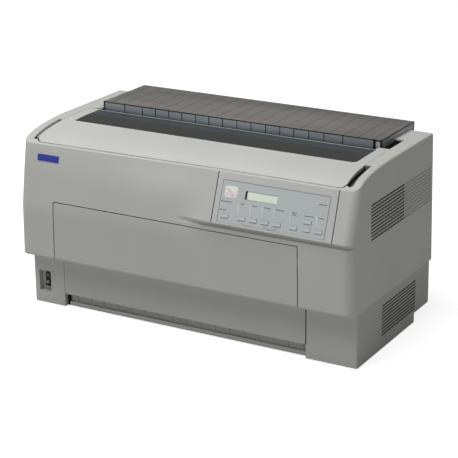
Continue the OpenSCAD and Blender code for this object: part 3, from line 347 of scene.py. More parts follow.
def add_bevel(piece, width):
    """Rounds the sharp edges of a piece."""
    bevel = piece.modifiers.new("bevel", "BEVEL")
    bevel.width = width * MM
    bevel.segments = 2
    bevel.limit_method = "ANGLE"
    bevel.angle_limit = math.radians(40)
    bevel.use_clamp_overlap = True


def smooth(piece, angle):
    """Smooth shading with sharp edges where faces meet at more than the angle."""
    mesh = piece.data
    mesh.shade_smooth()
    mesh.set_sharp_from_angle(angle=math.radians(angle))


def add_box(bm, low, high, material=0):
    """A closed box from low to high."""
    corners = [
        bm.verts.new((x, y, z))
        for z in (low[2], high[2]) for y in (low[1], high[1]) for x in (low[0], high[0])
    ]
    sides = ((0, 2, 3, 1), (4, 5, 7, 6), (0, 1, 5, 4), (2, 6, 7, 3), (0, 4, 6, 2), (1, 3, 7, 5))
    for side in sides:
        bm.faces.new([corners[i] for i in side]).material_index = material
    return corners


def add_loft(bm, first, last, material=0):
    """A closed solid between two loops of as many points each."""
    rings = [[bm.verts.new(p) for p in loop] for loop in (first, last)]
    made = [bm.faces.new(rings[0][::-1]), bm.faces.new(rings[1])]
    for i in range(len(first)):
        j = (i + 1) % len(first)
        made.append(bm.faces.new((rings[0][i], rings[0][j], rings[1][j], rings[1][i])))
    for face in made:
        face.material_index = material
    bmesh.ops.recalc_face_normals(bm, faces=made)
    return rings[0] + rings[1]


def add_prism(bm, outline, axis, start, end, material=0):
    """A closed prism: a 2D outline pushed along an axis from start to end."""
    def place(p, along):
        return {"x": (along, *p), "y": (p[0], along, p[1]), "z": (*p, along)}[axis]
    loops = [[place(p, along) for p in outline] for along in (start, end)]
    return add_loft(bm, *loops, material)


def rounded_outline(width, height, radius):
    """A rectangle about the origin with rounded corners."""
    steps = 4
    points = []
    for sx, sy, turn in ((1, 1, 0), (-1, 1, 90), (-1, -1, 180), (1, -1, 270)):
        for i in range(steps + 1):
            a = math.radians(turn + 90 * i / steps)
            points.append((
                sx * (width / 2 - radius) + radius * math.cos(a),
                sy * (height / 2 - radius) + radius * math.sin(a),
            ))
    return points


def solid_piece(name, build, slot, body, materials=None, bevel=0.3):
    """A piece whose closed mesh build(bm) makes, with softened edges."""
    bm = bmesh.new()
    build(bm)
    piece = piece_from(name, bm, body, materials or [slot])
    if bevel:
        add_bevel(piece, bevel)
        bake(piece)
    smooth(piece, 32)
    return piece


# --- outer surface of the casing --------
# One grid of points covers the whole casing. Each shell takes its own cells of it, so
# that doors, panel and cover follow the casing's form and leave an even seam.

CASING_LOW, CASING_HIGH = node_box("upper_casing")
DOOR_LOW, DOOR_HIGH = node_box("front_door")
PANEL_LOW, PANEL_HIGH = node_box("panel_bezel")
FILM_LOW, FILM_HIGH = node_box("panel_overlay")
COVER_BACK = node_box("printer_cover")[1].y

# The casing's half width, plain front, back, top and lower edge
HALF = round(CASING_HIGH.x)
FRONT = -189
BACK = round(CASING_HIGH.y)
TOP = 352
HEM_Z = round(CASING_LOW.z)
# The front's top edge, where the nose starts, and where the nose ends
BROW_Y = -160
BROW_Z = 325.5
NOSE_END = -120
# Rows above this height rise with the nose
CROWN_Z = 303
# How much the sides lean in from hem to top, as a share of the width
DRAFT = 0.0125
# Radii of the upright corners in front, of the top's side edges and of the back
LEFT_R = 15
RIGHT_R = 17
EDGE_R = 4
BACK_R = 4
# Heights on the back between which the rounding of the top's side edges sets in
BACK_DROP = (330, 351)

SEAM = 0.8
WIDE_SEAM = 1.9
# How far the panel's frame laps over its film, and the foot of its opening
FILM_LAP = 1
SILL_Z = 236
# The printer cover's half width, front edge on casing and cover, and corners
COVER_X = 322
COVER_SEAM = (-157.3, -156.5)
COVER_R = 12
# Finger grips beside the cover: outer ends, front and back, and corner
LEFT_GRIP_OUT = 331
RIGHT_GRIP_OUT = 335
GRIP_Y = (-154, -80)
GRIP_R = 7
# The cover's window, its corner, and the depth where the second tint starts
WINDOW_X = (-297.5, 303)
WINDOW_Y = (-76, 7)
WINDOW_R = 10
WINDOW_TINT_Y = -22
# How far outside the window's edge the grid has one more line
WINDOW_STEP = 0.5
# The open bay under the guide: half width, top of its back wall, and paper exit
BAY_X = 300.5
WALL_Z = 340
EXIT_Y = 12.5
# Cut-outs beside the bay: the left one's end, front and back, and the right one
NOTCH_X = 309
NOTCH_Y = (10, 16.5)
POCKET_X = 321.5
POCKET_Y = (22, 87)
# Upper louvres: pitch and heights, open slots in front and shallow grooves behind
SLOT_PITCH = 6.23
SLOT_Z = [227.1 + SLOT_PITCH * i for i in range(11)]
SLOT_H = 3.6
SLOT_Y = (-115.5, 26)
GROOVE_Y = (28, 143.5)
GROOVE_DEPTH = 1.5
# The opening that the base fills, and how far back the door's foot reaches
BASE_HOLE_X = 334
BASE_HOLE_Y = (-148, 141)
DOOR_FOOT_Y = -177
# Where the plain front turns into the leaning one of the panel
WEDGE_X = (-10, 62)
WEDGE_Z = (240, 325)
# How far round a corner the grid is bent, in radii, and the least gap of columns
BEND_REACH = 1.2
LEAST_GAP = 0.3

# How far the hem curves back, and how far the front leans back at a height, at its
# left end and at the panel, each as pairs of height and depth
HEM_CURVE = [(HEM_Z, 5), (108.5, 1.5), (112, 0)]
LEFT_LEAN = [
    (200, 0), (206, 0.3), (212, 0.8), (220, 1.7), (240, 4.3), (260, 6.9), (280, 9.6),
    (300, 12.6), (310, 14.3), (320, 16.2), (BROW_Z, 17.5),
]
BROW_SETBACK = 29.2
RIGHT_LEAN = [
    (230, 0), (230.8, 2.6), (233.5, 3), (239.5, -3.5), (240, -3.7), (240.8, -3.5),
    (BROW_Z, BROW_SETBACK),
]
# Height of the top over the nose, as pairs of depth and height
NOSE = [
    (BROW_Y, BROW_Z), (-158.9, 326.7), (-157.3, 328.3), (-156, 329.5), (-153, 332.3),
    (-150, 334.8), (-146, 337.4), (-142, 339.2), (-137, 341), (-132, 342.6), (-127, 343.9),
    (NOSE_END, 345.3), (-113, 346.4), (-106, 347.4), (-98, 348.3), (-90, 349.1), (-80, 350),
    (-70, 350.7), (-60, 351.2), (-50, 351.6), (-38, 351.9), (-25, TOP),
]


def ramp(value, low, high):
    """How far a value is from low to high, from 0 to 1."""
    return min(1, max(0, (value - low) / (high - low)))


def blend(value, low, high):
    """A ramp with soft ends."""
    t = ramp(value, low, high)
    return t * t * (3 - 2 * t)


def between(value, low, high):
    return low < value < high


def along(table, value):
    """Straight interpolation in a table of (value, result) pairs."""
    if value <= table[0][0]:
        return table[0][1]
    for (a, ya), (b, yb) in zip(table, table[1:]):
        if value <= b:
            return ya + (yb - ya) * (value - a) / (b - a)
    return table[-1][1]


def lean_share(x, z):
    """How much of the panel's lean the front has at x: a wedge below, even above."""
    low = blend(x, *WEDGE_X)
    high = ramp(x, -HALF, WEDGE_X[1])
    t = blend(z, *WEDGE_Z)
    return low * (1 - t) + high * t


def setback(x, z):
    """How far the front lies behind its lower, plain part."""
    share = lean_share(x, z)
    return along(LEFT_LEAN, z) * (1 - share) + along(RIGHT_LEAN, z) * share


def unskewed(x, y):
    """The nose's own depth coordinate, in which its front edge is straight."""
    if y >= NOSE_END:
        return y
    depth = NOSE_END - BROW_Y
    skew = setback(x, BROW_Z) - BROW_SETBACK
    return NOSE_END + (y - NOSE_END) * depth / (depth - skew)


def top_height(x, y):
    return along(NOSE, unskewed(x, y))


def drafted(x, z):
    """Where a point of the upright side lies once the sides lean in."""
    return x * (1 - DRAFT * ramp(z, HEM_Z, TOP))


def rounding(edge, radius):
    """How far a surface has curved away at a distance from the rounded edge's side."""
    if edge >= radius:
        return 0
    return radius - math.sqrt(radius * radius - (radius - edge) ** 2)


def merged(values, least):
    """Sorted values without near twins."""
    out = []
    for value in sorted(values):
        if not out or value - out[-1] > least:
            out.append(value)
    return out


def quarters(radius):
    """Distances from an edge that carry a rounded corner."""
    return [radius * i / 4 for i in range(5)]


def x_stations():
    """Where the grid's rings lie across the printer."""
    ends = (0, 0.25, 0.6, 1.2, 2, 3, 4.2, 6, 8, 10.5, 13, 15, 17)
    pairs = [HALF - e for e in ends] + [COVER_X + SEAM, BAY_X]
    pairs += [COVER_X - d for d in quarters(COVER_R)]
    values = [side * x for x in pairs for side in (-1, 1)]
    values += [-NOTCH_X, -LEFT_GRIP_OUT]
    values += [RIGHT_GRIP_OUT, RIGHT_GRIP_OUT - GRIP_R / 2, RIGHT_GRIP_OUT - GRIP_R]
    values += [WINDOW_X[0], WINDOW_X[0] - WINDOW_STEP, WINDOW_X[1] + WINDOW_STEP]
    values += [WINDOW_X[1] - d for d in quarters(WINDOW_R)]
    for low, high in ((DOOR_LOW, DOOR_HIGH), (PANEL_LOW, PANEL_HIGH)):
        values += [low.x - WIDE_SEAM, low.x, high.x, high.x + WIDE_SEAM]
    values += [FILM_LOW.x + FILM_LAP, FILM_HIGH.x - FILM_LAP]
    values += [WEDGE_X[0] + i * (WEDGE_X[1] - WEDGE_X[0]) / 12 for i in range(13)]
    values += range(-240, 241, 40)
    return merged(values, 0.2)


def row_heights():
    """Heights of the grid's rows on the upright faces."""
    values = [z for z, depth in HEM_CURVE + RIGHT_LEAN]
    values += [120, 140, 160, 180, 195, 200, 206, 212, 218]
    values += [DOOR_HIGH.z, DOOR_HIGH.z + WIDE_SEAM, SILL_Z, SILL_Z + SEAM]
    values += [z + end * SLOT_H / 2 for z in SLOT_Z for end in (-1, 1)]
    values += [FILM_LOW.z + FILM_LAP, 296, CROWN_Z, FILM_HIGH.z - FILM_LAP, 320]
    return merged(values, 0.35)


def column_depths():
    """Depths of the grid's columns on the top and the flat sides."""
    values = [y for y, z in NOSE] + [-148, -144]
    values += [*COVER_SEAM, *GRIP_Y, GRIP_Y[0] + GRIP_R / 2, GRIP_Y[0] + GRIP_R]
    values += [WINDOW_Y[0] + d for d in (-WINDOW_STEP, 0, 3, 6, WINDOW_R)]
    values += [WINDOW_TINT_Y, WINDOW_Y[1], COVER_BACK, COVER_BACK + SEAM]
    values += [*NOTCH_Y, EXIT_Y, *POCKET_Y, *GROOVE_Y, 45, 65, 110, 148, 154, 156.2]
    return merged(values, 0.25)


STATIONS = x_stations()
HEIGHTS = row_heights()
COLUMNS = column_depths()
TOP_ROW = len(HEIGHTS) - 1
LAST_COLUMN = len(COLUMNS) - 1
# Depth and height of the back's last rows, which round its top edge
BACK_TOP = {
    TOP_ROW - 2: (BACK, WALL_Z),
    TOP_ROW - 1: (BACK, 349),
    TOP_ROW: (156.2, 351.2),
}


def front_point(x, i):
    """A point of row i on the front. The top rows follow the nose round the corners."""
    z = HEIGHTS[i]
    edge = HALF - abs(x)
    turn = rounding(edge, RIGHT_R if x > 0 else LEFT_R)
    y = FRONT + along(HEM_CURVE, z) + setback(x, z) + turn
    if z > CROWN_Z:
        top = top_height(x, FRONT + setback(x, BROW_Z) + turn) - rounding(edge, EDGE_R)
        z = CROWN_Z + (z - CROWN_Z) * (top - CROWN_Z) / (BROW_Z - CROWN_Z)
    return Vector((x, y, z))


def back_point(x, i):
    """A point of row i on the back."""
    edge = HALF - abs(x)
    y, z = BACK_TOP.get(i, (BACK, HEIGHTS[i]))
    drop = rounding(edge, EDGE_R) * ramp(z, *BACK_DROP)
    return Vector((x, y - rounding(edge, BACK_R), z - drop))


def column_y(j, front, back):
    """Where a column crosses a row whose ends are at front and back."""
    y = COLUMNS[j]
    if y <= NOSE_END:
        t = (y - COLUMNS[0]) / (NOSE_END - COLUMNS[0])
        y = front + (NOSE_END - front) * t
    return min(y, back - LEAST_GAP * (LAST_COLUMN - j))


def bend(x, y, centre, radius, way):
    """Bends a square front corner of the grid, seen from above, into a round one."""
    a = way * (x - centre[0]) / radius
    b = (centre[1] - y) / radius
    m = max(a, b, 1)
    if a <= 0 or b <= 0 or m >= BEND_REACH:
        return x, y
    u, v = a / m, b / m
    share = (BEND_REACH - m) / (BEND_REACH - 1)
    x += way * radius * (u * math.sqrt(1 - v * v / 2) - u) * share
    y -= radius * (v * math.sqrt(1 - u * u / 2) - v) * share
    return x, y


def bend_corners(x, y):
    """Rounds the corners of cover, grips and window in the nose's own coordinates."""
    for way in (-1, 1):
        centre = (way * (COVER_X - COVER_R), COVER_SEAM[1] + COVER_R)
        x, y = bend(x, y, centre, COVER_R, way)
    x, y = bend(x, y, (RIGHT_GRIP_OUT - GRIP_R, GRIP_Y[0] + GRIP_R), GRIP_R, 1)
    centre = (WINDOW_X[1] - WINDOW_R, WINDOW_Y[0] + WINDOW_R)
    return bend(x, y, centre, WINDOW_R, 1)


def top_point(x, j):
    """A point of column j on the top, between the front's and the back's top row."""
    front = front_point(x, TOP_ROW)
    back = back_point(x, TOP_ROW)
    if j == 0:
        return front
    if j == LAST_COLUMN:
        return back
    y = column_y(j, front.y, back.y)
    shift = y - unskewed(x, y)
    nx, ny = bend_corners(x, y - shift)
    y = ny + shift
    return Vector((nx, y, top_height(nx, y) - rounding(HALF - abs(x), EDGE_R)))


def side_point(x, i, j):
    """A point on the flat side, or on the underside where i is 0."""
    front = front_point(x, i)
    back = back_point(x, i)
    if j == 0:
        return front
    if j == LAST_COLUMN:
        return back
    if i == TOP_ROW:
        return top_point(x, j)
    y = column_y(j, front.y, back.y)
    t = (y - front.y) / (back.y - front.y)
    return Vector((x, y, front.z + (back.z - front.z) * t))


def ring_rows():
    """The rows that each ring of the grid crosses: kind, point at x, and flat place."""
    up = range(TOP_ROW + 1)
    deep = range(1, LAST_COLUMN + 1)
    rows = [("front", lambda x, i=i: front_point(x, i), (BROW_Y, HEIGHTS[i])) for i in up]
    rows += [("top", lambda x, j=j: top_point(x, j), (COLUMNS[j], TOP)) for j in deep]
    rows += [("back", lambda x, i=i: back_point(x, i), None) for i in up[-2::-1]]
    rows += [("under", lambda x, j=j: side_point(x, 0, j - 1), None) for j in deep[::-1]]
    return rows


def ring_cells():
    """Yields the cells round the printer, from ring to ring."""
    rows = ring_rows()
    rings = [[point(x) for kind, point, flat in rows] for x in STATIONS]
    for k in range(len(STATIONS) - 1):
        near, far = rings[k], rings[k + 1]
        for r in range(len(rows) - 1):
            corners = (near[r], far[r], far[r + 1], near[r + 1])
            kind = rows[r + 1][0]
            place = sum(corners, Vector()) / 4
            if kind in ("front", "top"):
                middle = [(a + b) / 2 for a, b in zip(rows[r][2], rows[r + 1][2])]
                place = Vector(((STATIONS[k] + STATIONS[k + 1]) / 2, *middle))
            yield kind, place, corners


def side_cells():
    """Yields the cells of the two flat sides."""
    for x in (STATIONS[0], STATIONS[-1]):
        for i in range(TOP_ROW):
            for j in range(LAST_COLUMN):
                corners = [
                    side_point(x, i, j), side_point(x, i, j + 1),
                    side_point(x, i + 1, j + 1), side_point(x, i + 1, j),
                ]
                place = sum(corners, Vector()) / 4
                yield "side", place, corners if x > 0 else corners[::-1]


# Kind, place and corners of every cell. The place is the cell's middle, which on front
# and top is given in the grid's own coordinates.
CELLS = [*ring_cells(), *side_cells()]


def patch(keep):
    """A sheet made of the casing's cells that keep(kind, place) picks."""
    bm = bmesh.new()
    known = {}

    def vertex(p):
        key = (round(p.x, 3), round(p.y, 3), round(p.z, 3))
        if key not in known:
            known[key] = bm.verts.new(p)
        return known[key]

    for kind, place, corners in CELLS:
        if not keep(kind, place):
            continue
        loop = []
        for p in corners:
            v = vertex(p)
            if v not in loop:
                loop.append(v)
        if len(loop) > 2 and not bm.faces.get(loop):
            bm.faces.new(loop)
    return bm


def shell(name, keep, slot, body, thickness=3, edge=0.5, sink=0, extra=None):
    """A moulded shell over the cells that keep picks, with softened edges."""
    bm = patch(keep)
    if extra:
        extra(bm)
    bm.normal_update()
    moves = [v.normal * -sink for v in bm.verts]
    for v, move in zip(bm.verts, moves):
        v.co += move
        v.co.x = drafted(v.co.x, v.co.z)
    piece = piece_from(name, bm, body, [slot, "edge_wear"])
    solid = piece.modifiers.new("wall", "SOLIDIFY")
    solid.thickness = thickness * MM
    solid.offset = -1
    solid.use_even_offset = True
    add_bevel(piece, edge)
    bake(piece)
    smooth(piece, 21)
    return piece


# --- upper casing -----------------------


def in_slot(z):
    return any(abs(z - s) < SLOT_H / 2 for s in SLOT_Z)


def in_grip(c):
    left = between(c.x, -LEFT_GRIP_OUT, -COVER_X)
    right = between(c.x, COVER_X, RIGHT_GRIP_OUT)
    return (left or right) and between(c.y, *GRIP_Y)


def open_in_front(c):
    """Whether the panel or the door fills this place of the front."""
    if between(c.x, PANEL_LOW.x - WIDE_SEAM, PANEL_HIGH.x + WIDE_SEAM) and c.z > SILL_Z:
        return True
    door = between(c.x, DOOR_LOW.x - WIDE_SEAM, DOOR_HIGH.x + WIDE_SEAM)
    return door and c.z < DOOR_HIGH.z + WIDE_SEAM


def open_on_top(c):
    """Whether the cover, a grip or a cut-out takes this place of the top."""
    cover = abs(c.x) < COVER_X + SEAM and between(c.y, COVER_SEAM[0], COVER_BACK + SEAM)
    bay = abs(c.x) < BAY_X and c.y > COVER_BACK
    notch = between(c.x, -NOTCH_X, 0) and between(c.y, *NOTCH_Y)
    pocket = between(c.x, 0, POCKET_X) and between(c.y, *POCKET_Y)
    return cover or bay or notch or pocket or in_grip(c)


def open_below(c):
    """Whether the base or the door's foot takes this place of the underside."""
    base = abs(c.x) < BASE_HOLE_X and between(c.y, *BASE_HOLE_Y)
    door = between(c.x, DOOR_LOW.x - WIDE_SEAM, DOOR_HIGH.x + WIDE_SEAM)
    return base or (door and c.y < DOOR_FOOT_Y + 1)


def casing_keeps(kind, c):
    """Whether a cell belongs to the casing, and not to one of its openings."""
    return not {
        "front": open_in_front,
        "top": open_on_top,
        "back": lambda c: abs(c.x) < BAY_X and c.z > WALL_Z,
        "under": open_below,
        "side": lambda c: between(c.y, *SLOT_Y) and in_slot(c.z),
    }[kind](c)


def press_grooves(bm):
    """Shallow grooves that carry the louvres' lines on to the back."""
    bm.faces.ensure_lookup_table()
    for side in (-1, 1):
        faces = []
        for face in bm.faces:
            c = face.calc_center_median()
            on_side = side * c.x > HALF - 0.01
            if on_side and between(c.y, *GROOVE_Y) and in_slot(c.z):
                faces.append(face)
        made = bmesh.ops.extrude_face_region(bm, geom=faces)
        moved = [g for g in made["geom"] if isinstance(g, bmesh.types.BMVert)]
        bmesh.ops.translate(bm, verts=moved, vec=(-GROOVE_DEPTH * side, 0, 0))
        bmesh.ops.delete(bm, geom=faces, context="FACES_KEEP_BOUNDARY")


upper_casing = shell(
    "upper_casing_shell", casing_keeps, "casing_grey", "chassis", extra=press_grooves
)
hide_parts("upper_casing")


# --- doors, panel and cover -------------


def door_keeps(kind, c):
    """The door's cells, with its foot that reaches under the hem."""
    height = kind == "front" and c.z < DOOR_HIGH.z
    foot = kind == "under" and c.y < DOOR_FOOT_Y
    return between(c.x, DOOR_LOW.x, DOOR_HIGH.x) and (height or foot)


front_door = shell("front_door_shell", door_keeps, "door_grey", "front_door")
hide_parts("front_door")


def panel_keeps(kind, c):
    """The panel's frame. The film covers its middle."""
    film = (
        between(c.x, FILM_LOW.x + FILM_LAP, FILM_HIGH.x - FILM_LAP)
        and between(c.z, FILM_LOW.z + FILM_LAP, FILM_HIGH.z - FILM_LAP)
    )
    panel = between(c.x, PANEL_LOW.x, PANEL_HIGH.x) and c.z > SILL_Z + SEAM
    return kind == "front" and panel and not film


panel_bezel = shell("panel_bezel_shell", panel_keeps, "cover_grey", "chassis")
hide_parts("panel_bezel")


def in_window(c):
    return between(c.x, *WINDOW_X) and between(c.y, *WINDOW_Y)


def cover_keeps(kind, c):
    inside = abs(c.x) < COVER_X and between(c.y, COVER_SEAM[1], COVER_BACK)
    return kind == "top" and inside and not in_window(c)


printer_cover = shell("printer_cover_shell", cover_keeps, "cover_grey", "printer_cover")
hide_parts("printer_cover")


def pane_keeps(kind, c):
    return kind == "top" and in_window(c)


cover_window = shell(
    "cover_window_pane", pane_keeps, "smoke_window", "printer_cover",
    thickness=2.2, edge=0.3, sink=0.7,
)
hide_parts("cover_window")
for face in cover_window.data.polygons:
    if face.center.y > WINDOW_TINT_Y * MM:
        face.material_index = 1
cover_window.data.materials[1] = MATERIALS["smoke_back"]


# --- badge ------------------------------

BADGE_AT = (-286.6, 302.3)
BADGE_SIZE = (47.4, 12.2)
BADGE_R = 1.4
# How far in front of the casing its back and its face lie
BADGE_LIFTS = (-0.6, 0.9)


def build_badge(bm):
    """A plain plate that lies on the leaning front, following its curve."""
    outline = [
        (BADGE_AT[0] + u, BADGE_AT[1] + v) for u, v in rounded_outline(*BADGE_SIZE, BADGE_R)
    ]
    add_loft(bm, *(
        [(x, FRONT + setback(x, z) - lift, z) for x, z in outline] for lift in BADGE_LIFTS
    ))


badge = solid_piece("badge_plate", build_badge, "badge_blue", "chassis")
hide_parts("blank_badge")


# --- louvres ----------------------------

BASE_LOW, BASE_HIGH = node_box("base_housing")
BASE_HALF = round(BASE_HIGH.x)
BASE_SLOT_Y = (-57, 92)
BASE_SLOT_Z = [28.2 + SLOT_PITCH * i for i in range(10)]
RIB_PITCH = 6.2
RIB_WIDTH = 0.8
# Where uprights and the dark strips of painted shade start and end, behind the face of casing and
# base
RIB_DEPTHS = (2.6, 0.2)
DARK_DEPTHS = (2.9, 0.35)
BASE_DARK_DEPTHS = (2.9, 0.3)


def add_side_box(bm, side, half, depths, ys, zs):
    """A box whose ends lie at two depths behind a side, which is half from the middle."""
    x = sorted(side * (half - depth) for depth in depths)
    corners = add_box(bm, (x[0], ys[0], zs[0]), (x[1], ys[1], zs[1]))
    for v in corners:
        v.co.x = drafted(v.co.x, v.co.z)


def build_louvre_ribs(bm):
    """Uprights that cross the upper slots just behind the casing's face."""
    length = SLOT_Y[1] - SLOT_Y[0]
    count = int(length / RIB_PITCH)
    zs = (SLOT_Z[0] - 2, SLOT_Z[-1] + 2)
    for side in (-1, 1):
        for i in range(1, count):
            y = SLOT_Y[0] + length * i / count
            ys = (y - RIB_WIDTH / 2, y + RIB_WIDTH / 2)
            add_side_box(bm, side, HALF, RIB_DEPTHS, ys, zs)


def build_louvre_slot_shade(bm):
    """Painted shade for the unlit depth of the slots: a dark strip in each, a little behind the
    face.
    """
    reach = SLOT_H / 2 - 0.05
    for half, depths, (y0, y1), levels in (
        (HALF, DARK_DEPTHS, SLOT_Y, SLOT_Z),
        (BASE_HALF, BASE_DARK_DEPTHS, BASE_SLOT_Y, BASE_SLOT_Z),
    ):
        for side in (-1, 1):
            for z in levels:
                add_side_box(bm, side, half, depths, (y0 + 0.2, y1 - 0.2), (z - reach, z + reach))


solid_piece("louvre_ribs", build_louvre_ribs, "casing_grey", "chassis")
# Dark strips in the slots, a painted shade
solid_piece("louvre_slot_shade", build_louvre_slot_shade, "black_plastic", "chassis", ["black_and_painted_gap_shade"], 0)


# --- grips, posts and skirts ------------

# Materials of the grips: darker copies of the casing plastic, a painted shade in the wells
DEEP_SHADE, SOFT_SHADE = range(2)
# Floors and outer walls of the grips: left and right end, depths of the upper and the
# lower face under the casing's top, and material, which is a painted shade
GRIP_PARTS = (
    (-330, -316.5, 5, 7, SOFT_SHADE),
    (-327.9, -326.4, 0.6, 7, SOFT_SHADE),
    (316.5, 333, 12, 14, DEEP_SHADE),
    (331.2, 333, 0.8, 12, DEEP_SHADE),
)
# Left and right end of the walls that close the grips at the back
GRIP_BACKS = ((-328, -318.5), (318.5, 331))
# Posts: left and right, front and back, and top
POSTS = (
    (284.5, 293.5, 34.8, 46, 358),
    (-295.5, -286.5, 52, 62, 356),
    (-309, -302, 20, 40, 353),
)
POST_FOOT = 335
# The cover's side skirts: inner and outer face, depth under the cover's top, and height
SKIRT_X = (313, 315.5)
SKIRT_TOP = 2
SKIRT_HEIGHT = 7
# The hinge ears: inner face, radius, heights of axis and upper edge, and lower half turn
EAR_X = 310
EAR_R = 5.5
EAR_Z = (343, 350)
EAR_TURNS = [math.pi + math.pi * i / 8 for i in range(9)]


def add_strip(bm, x0, x1, ys, along_x, sink, height, material=0):
    """A strip that runs back a little under the top, whose height it takes at along_x."""
    upper = [(y, top_height(along_x, y) - sink) for y in ys]
    lower = [(y, z - height) for y, z in upper[::-1]]
    add_prism(bm, upper + lower, "x", x0, x1, material)


def build_grips(bm):
    """Floors, outer walls and back ends of the finger grips, in painted shade."""
    start, end = GRIP_Y[0] + 1, GRIP_Y[1] - 1
    ys = [start + i * (end - start) / 10 for i in range(11)]
    for x0, x1, top, foot, material in GRIP_PARTS:
        add_strip(bm, x0, x1, ys, x0, top, foot - top, material)
    y = GRIP_Y[1]
    for x0, x1 in GRIP_BACKS:
        add_box(bm, (x0, y - 1.2, 338), (x1, y + 0.2, top_height(x0, y) - 0.7))


def build_posts(bm):
    """Posts that carry the paper guide, behind the path of its front wall."""
    for x0, x1, y0, y1, top in POSTS:
        add_box(bm, (x0, y0, POST_FOOT), (x1, y1, top))


def build_cover_skirts(bm):
    """Side skirts, hinge ears and front lip that stiffen the printer cover."""
    ys = [COVER_SEAM[1] + COVER_R + i * 18 for i in range(9)]
    low, high = EAR_Z
    ear = [(EAR_R, high), (-EAR_R, high)]
    ear += [(EAR_R * math.cos(a), low + EAR_R * math.sin(a)) for a in EAR_TURNS]
    for side in (-1, 1):
        inner, outer = (side * x for x in SKIRT_X)
        add_strip(bm, inner, outer, ys, outer, SKIRT_TOP, SKIRT_HEIGHT)
        add_prism(bm, ear, "x", side * EAR_X, outer)
    add_box(bm, (-300, COVER_SEAM[1] + 0.8, 325.9), (300, COVER_SEAM[1] + 3, 329))


solid_piece("grip_wells", build_grips, "casing_grey", "chassis", ["grip_deep_painted_shade", "grip_soft_painted_shade"])
solid_piece("guide_posts", build_posts, "casing_grey", "chassis", bevel=1.2)
solid_piece("cover_skirts", build_cover_skirts, "cover_grey", "printer_cover", bevel=0.4)


# --- paper entry and power rocker -------

FLAP_LOW, FLAP_HIGH = node_box("lower_front_cover")
ENTRY_FRONT = node_box("paper_entry_guide")[0].y
ENTRY_END = FLAP_LOW.x + 5
# Section of the lip: depth from the entry's face, and height
LIP = [(0, 2), (-1.2, 3), (-1.6, 6), (-1.2, 9.5), (0, 10.5), (3, 10.5), (3, 2)]
ROCKER_LOW, ROCKER_HIGH = node_box("power_rocker")
# The middle of the rocker's axis
ROCKER_AT = Vector(((ROCKER_LOW.x + ROCKER_HIGH.x) / 2, -143, 47.5))
RING_TURNS = [2 * math.pi * i / 16 for i in range(16)]
# Half the bar's width and height
BAR_HALF = (0.6, 2.6)
# The marks' height over the rocker's axis, depth before it, and lean with height
BAR_PLACE = (7.5, -5.7, -0.1)
RING_PLACE = (-6, -7.3, 0.356)
MARK_LIFT = 0.25
MARK, HOLE = range(2)
# Radius, lift and material of the ring's disc and of the hole drawn on it
RING_DISCS = ((2.7, MARK_LIFT, MARK), (1.6, 0.35, HOLE))


def build_flap_gap_shade(bm):
    """Dark boxes beside the lower front cover and the paper entry: a painted shade that stands
    for the gaps there.
    """
    x, y, z = FLAP_HIGH.x, BASE_LOW.y, FLAP_LOW.z
    add_box(bm, (x + 0.1, y - 0.05, z + 1), (x + 2, y + 1.5, FLAP_HIGH.z))
    add_box(bm, (FLAP_LOW.x, ENTRY_FRONT - 0.4, 2), (ENTRY_END, ENTRY_FRONT + 3, z))


def build_entry_lip(bm):
    """The rolled lip along the foot of the paper entry."""
    section = [(ENTRY_FRONT + y, z) for y, z in LIP]
    add_prism(bm, section, "x", ENTRY_END, FLAP_HIGH.x - 1)


def add_rocker_mark(bm, outline, place, lift, material):
    """A thin mark on the rocker's bent face."""
    z, y, lean = place
    for v in add_prism(bm, outline, "y", -lift, 0.6, material):
        v.co += ROCKER_AT + Vector((0, y + lean * v.co.z, z))


def build_rocker_marks(bm):
    """Generic on and off marks: a bar above and a ring below."""
    x, z = BAR_HALF
    bar = [(-x, -z), (x, -z), (x, z), (-x, z)]
    add_rocker_mark(bm, bar, BAR_PLACE, MARK_LIFT, MARK)
    for radius, lift, material in RING_DISCS:
        disc = [(radius * math.cos(a), radius * math.sin(a)) for a in RING_TURNS]
        add_rocker_mark(bm, disc, RING_PLACE, lift, material)


# Painted shade: dark boxes that stand for the gaps beside the flap and the entry
solid_piece("flap_gap_shade", build_flap_gap_shade, "black_plastic", "chassis", ["black_and_painted_gap_shade"], 0)
solid_piece("entry_lip", build_entry_lip, "casing_grey", "chassis")
solid_piece(
    "rocker_marks", build_rocker_marks, "black_plastic", "rocker", ["print_light", "black_and_painted_gap_shade"], 0
)


# --- paper guide ------------------------

GUIDE_LOW, GUIDE_HIGH = node_box("paper_guide")
GUIDE_X = round(GUIDE_HIGH.x)
GUIDE_FRONT = round(GUIDE_LOW.y)
GUIDE_BACK = 177
GUIDE_Z = (round(GUIDE_LOW.z), round(GUIDE_HIGH.z))
GUIDE_WALL = 2
# Depth of the cut-out at the right front corner, and how far the top lies below its ribs
GUIDE_STEP = 4
GUIDE_SKIN = 0.1
# Widths of the rims and front ribs, and of the ribs on top
GUIDE_EDGE = 1.3
RIB_LINE = 0.9
# Left edges of the ribs
FRONT_RIBS = (
    -299, -250, -209, -179, -149, -120, -89, -60, -30, 1, 31, 62, 92, 121, 152, 183, 221, 282,
)
TOP_RIBS = [-15 + 29.6 * i for i in range(-9, 11)]
# Half width of the curved back lip, and the outer line of its section
BACK_LIP_X = 280
BACK_LIP = [
    (GUIDE_BACK - 0.5, GUIDE_Z[1]), (182, 361.4), (187, 357.6), (190.5, 353), (193, 347),
]
# Materials of the hood
CLEAR, PALE, DARK_EDGE, STEEL = range(4)


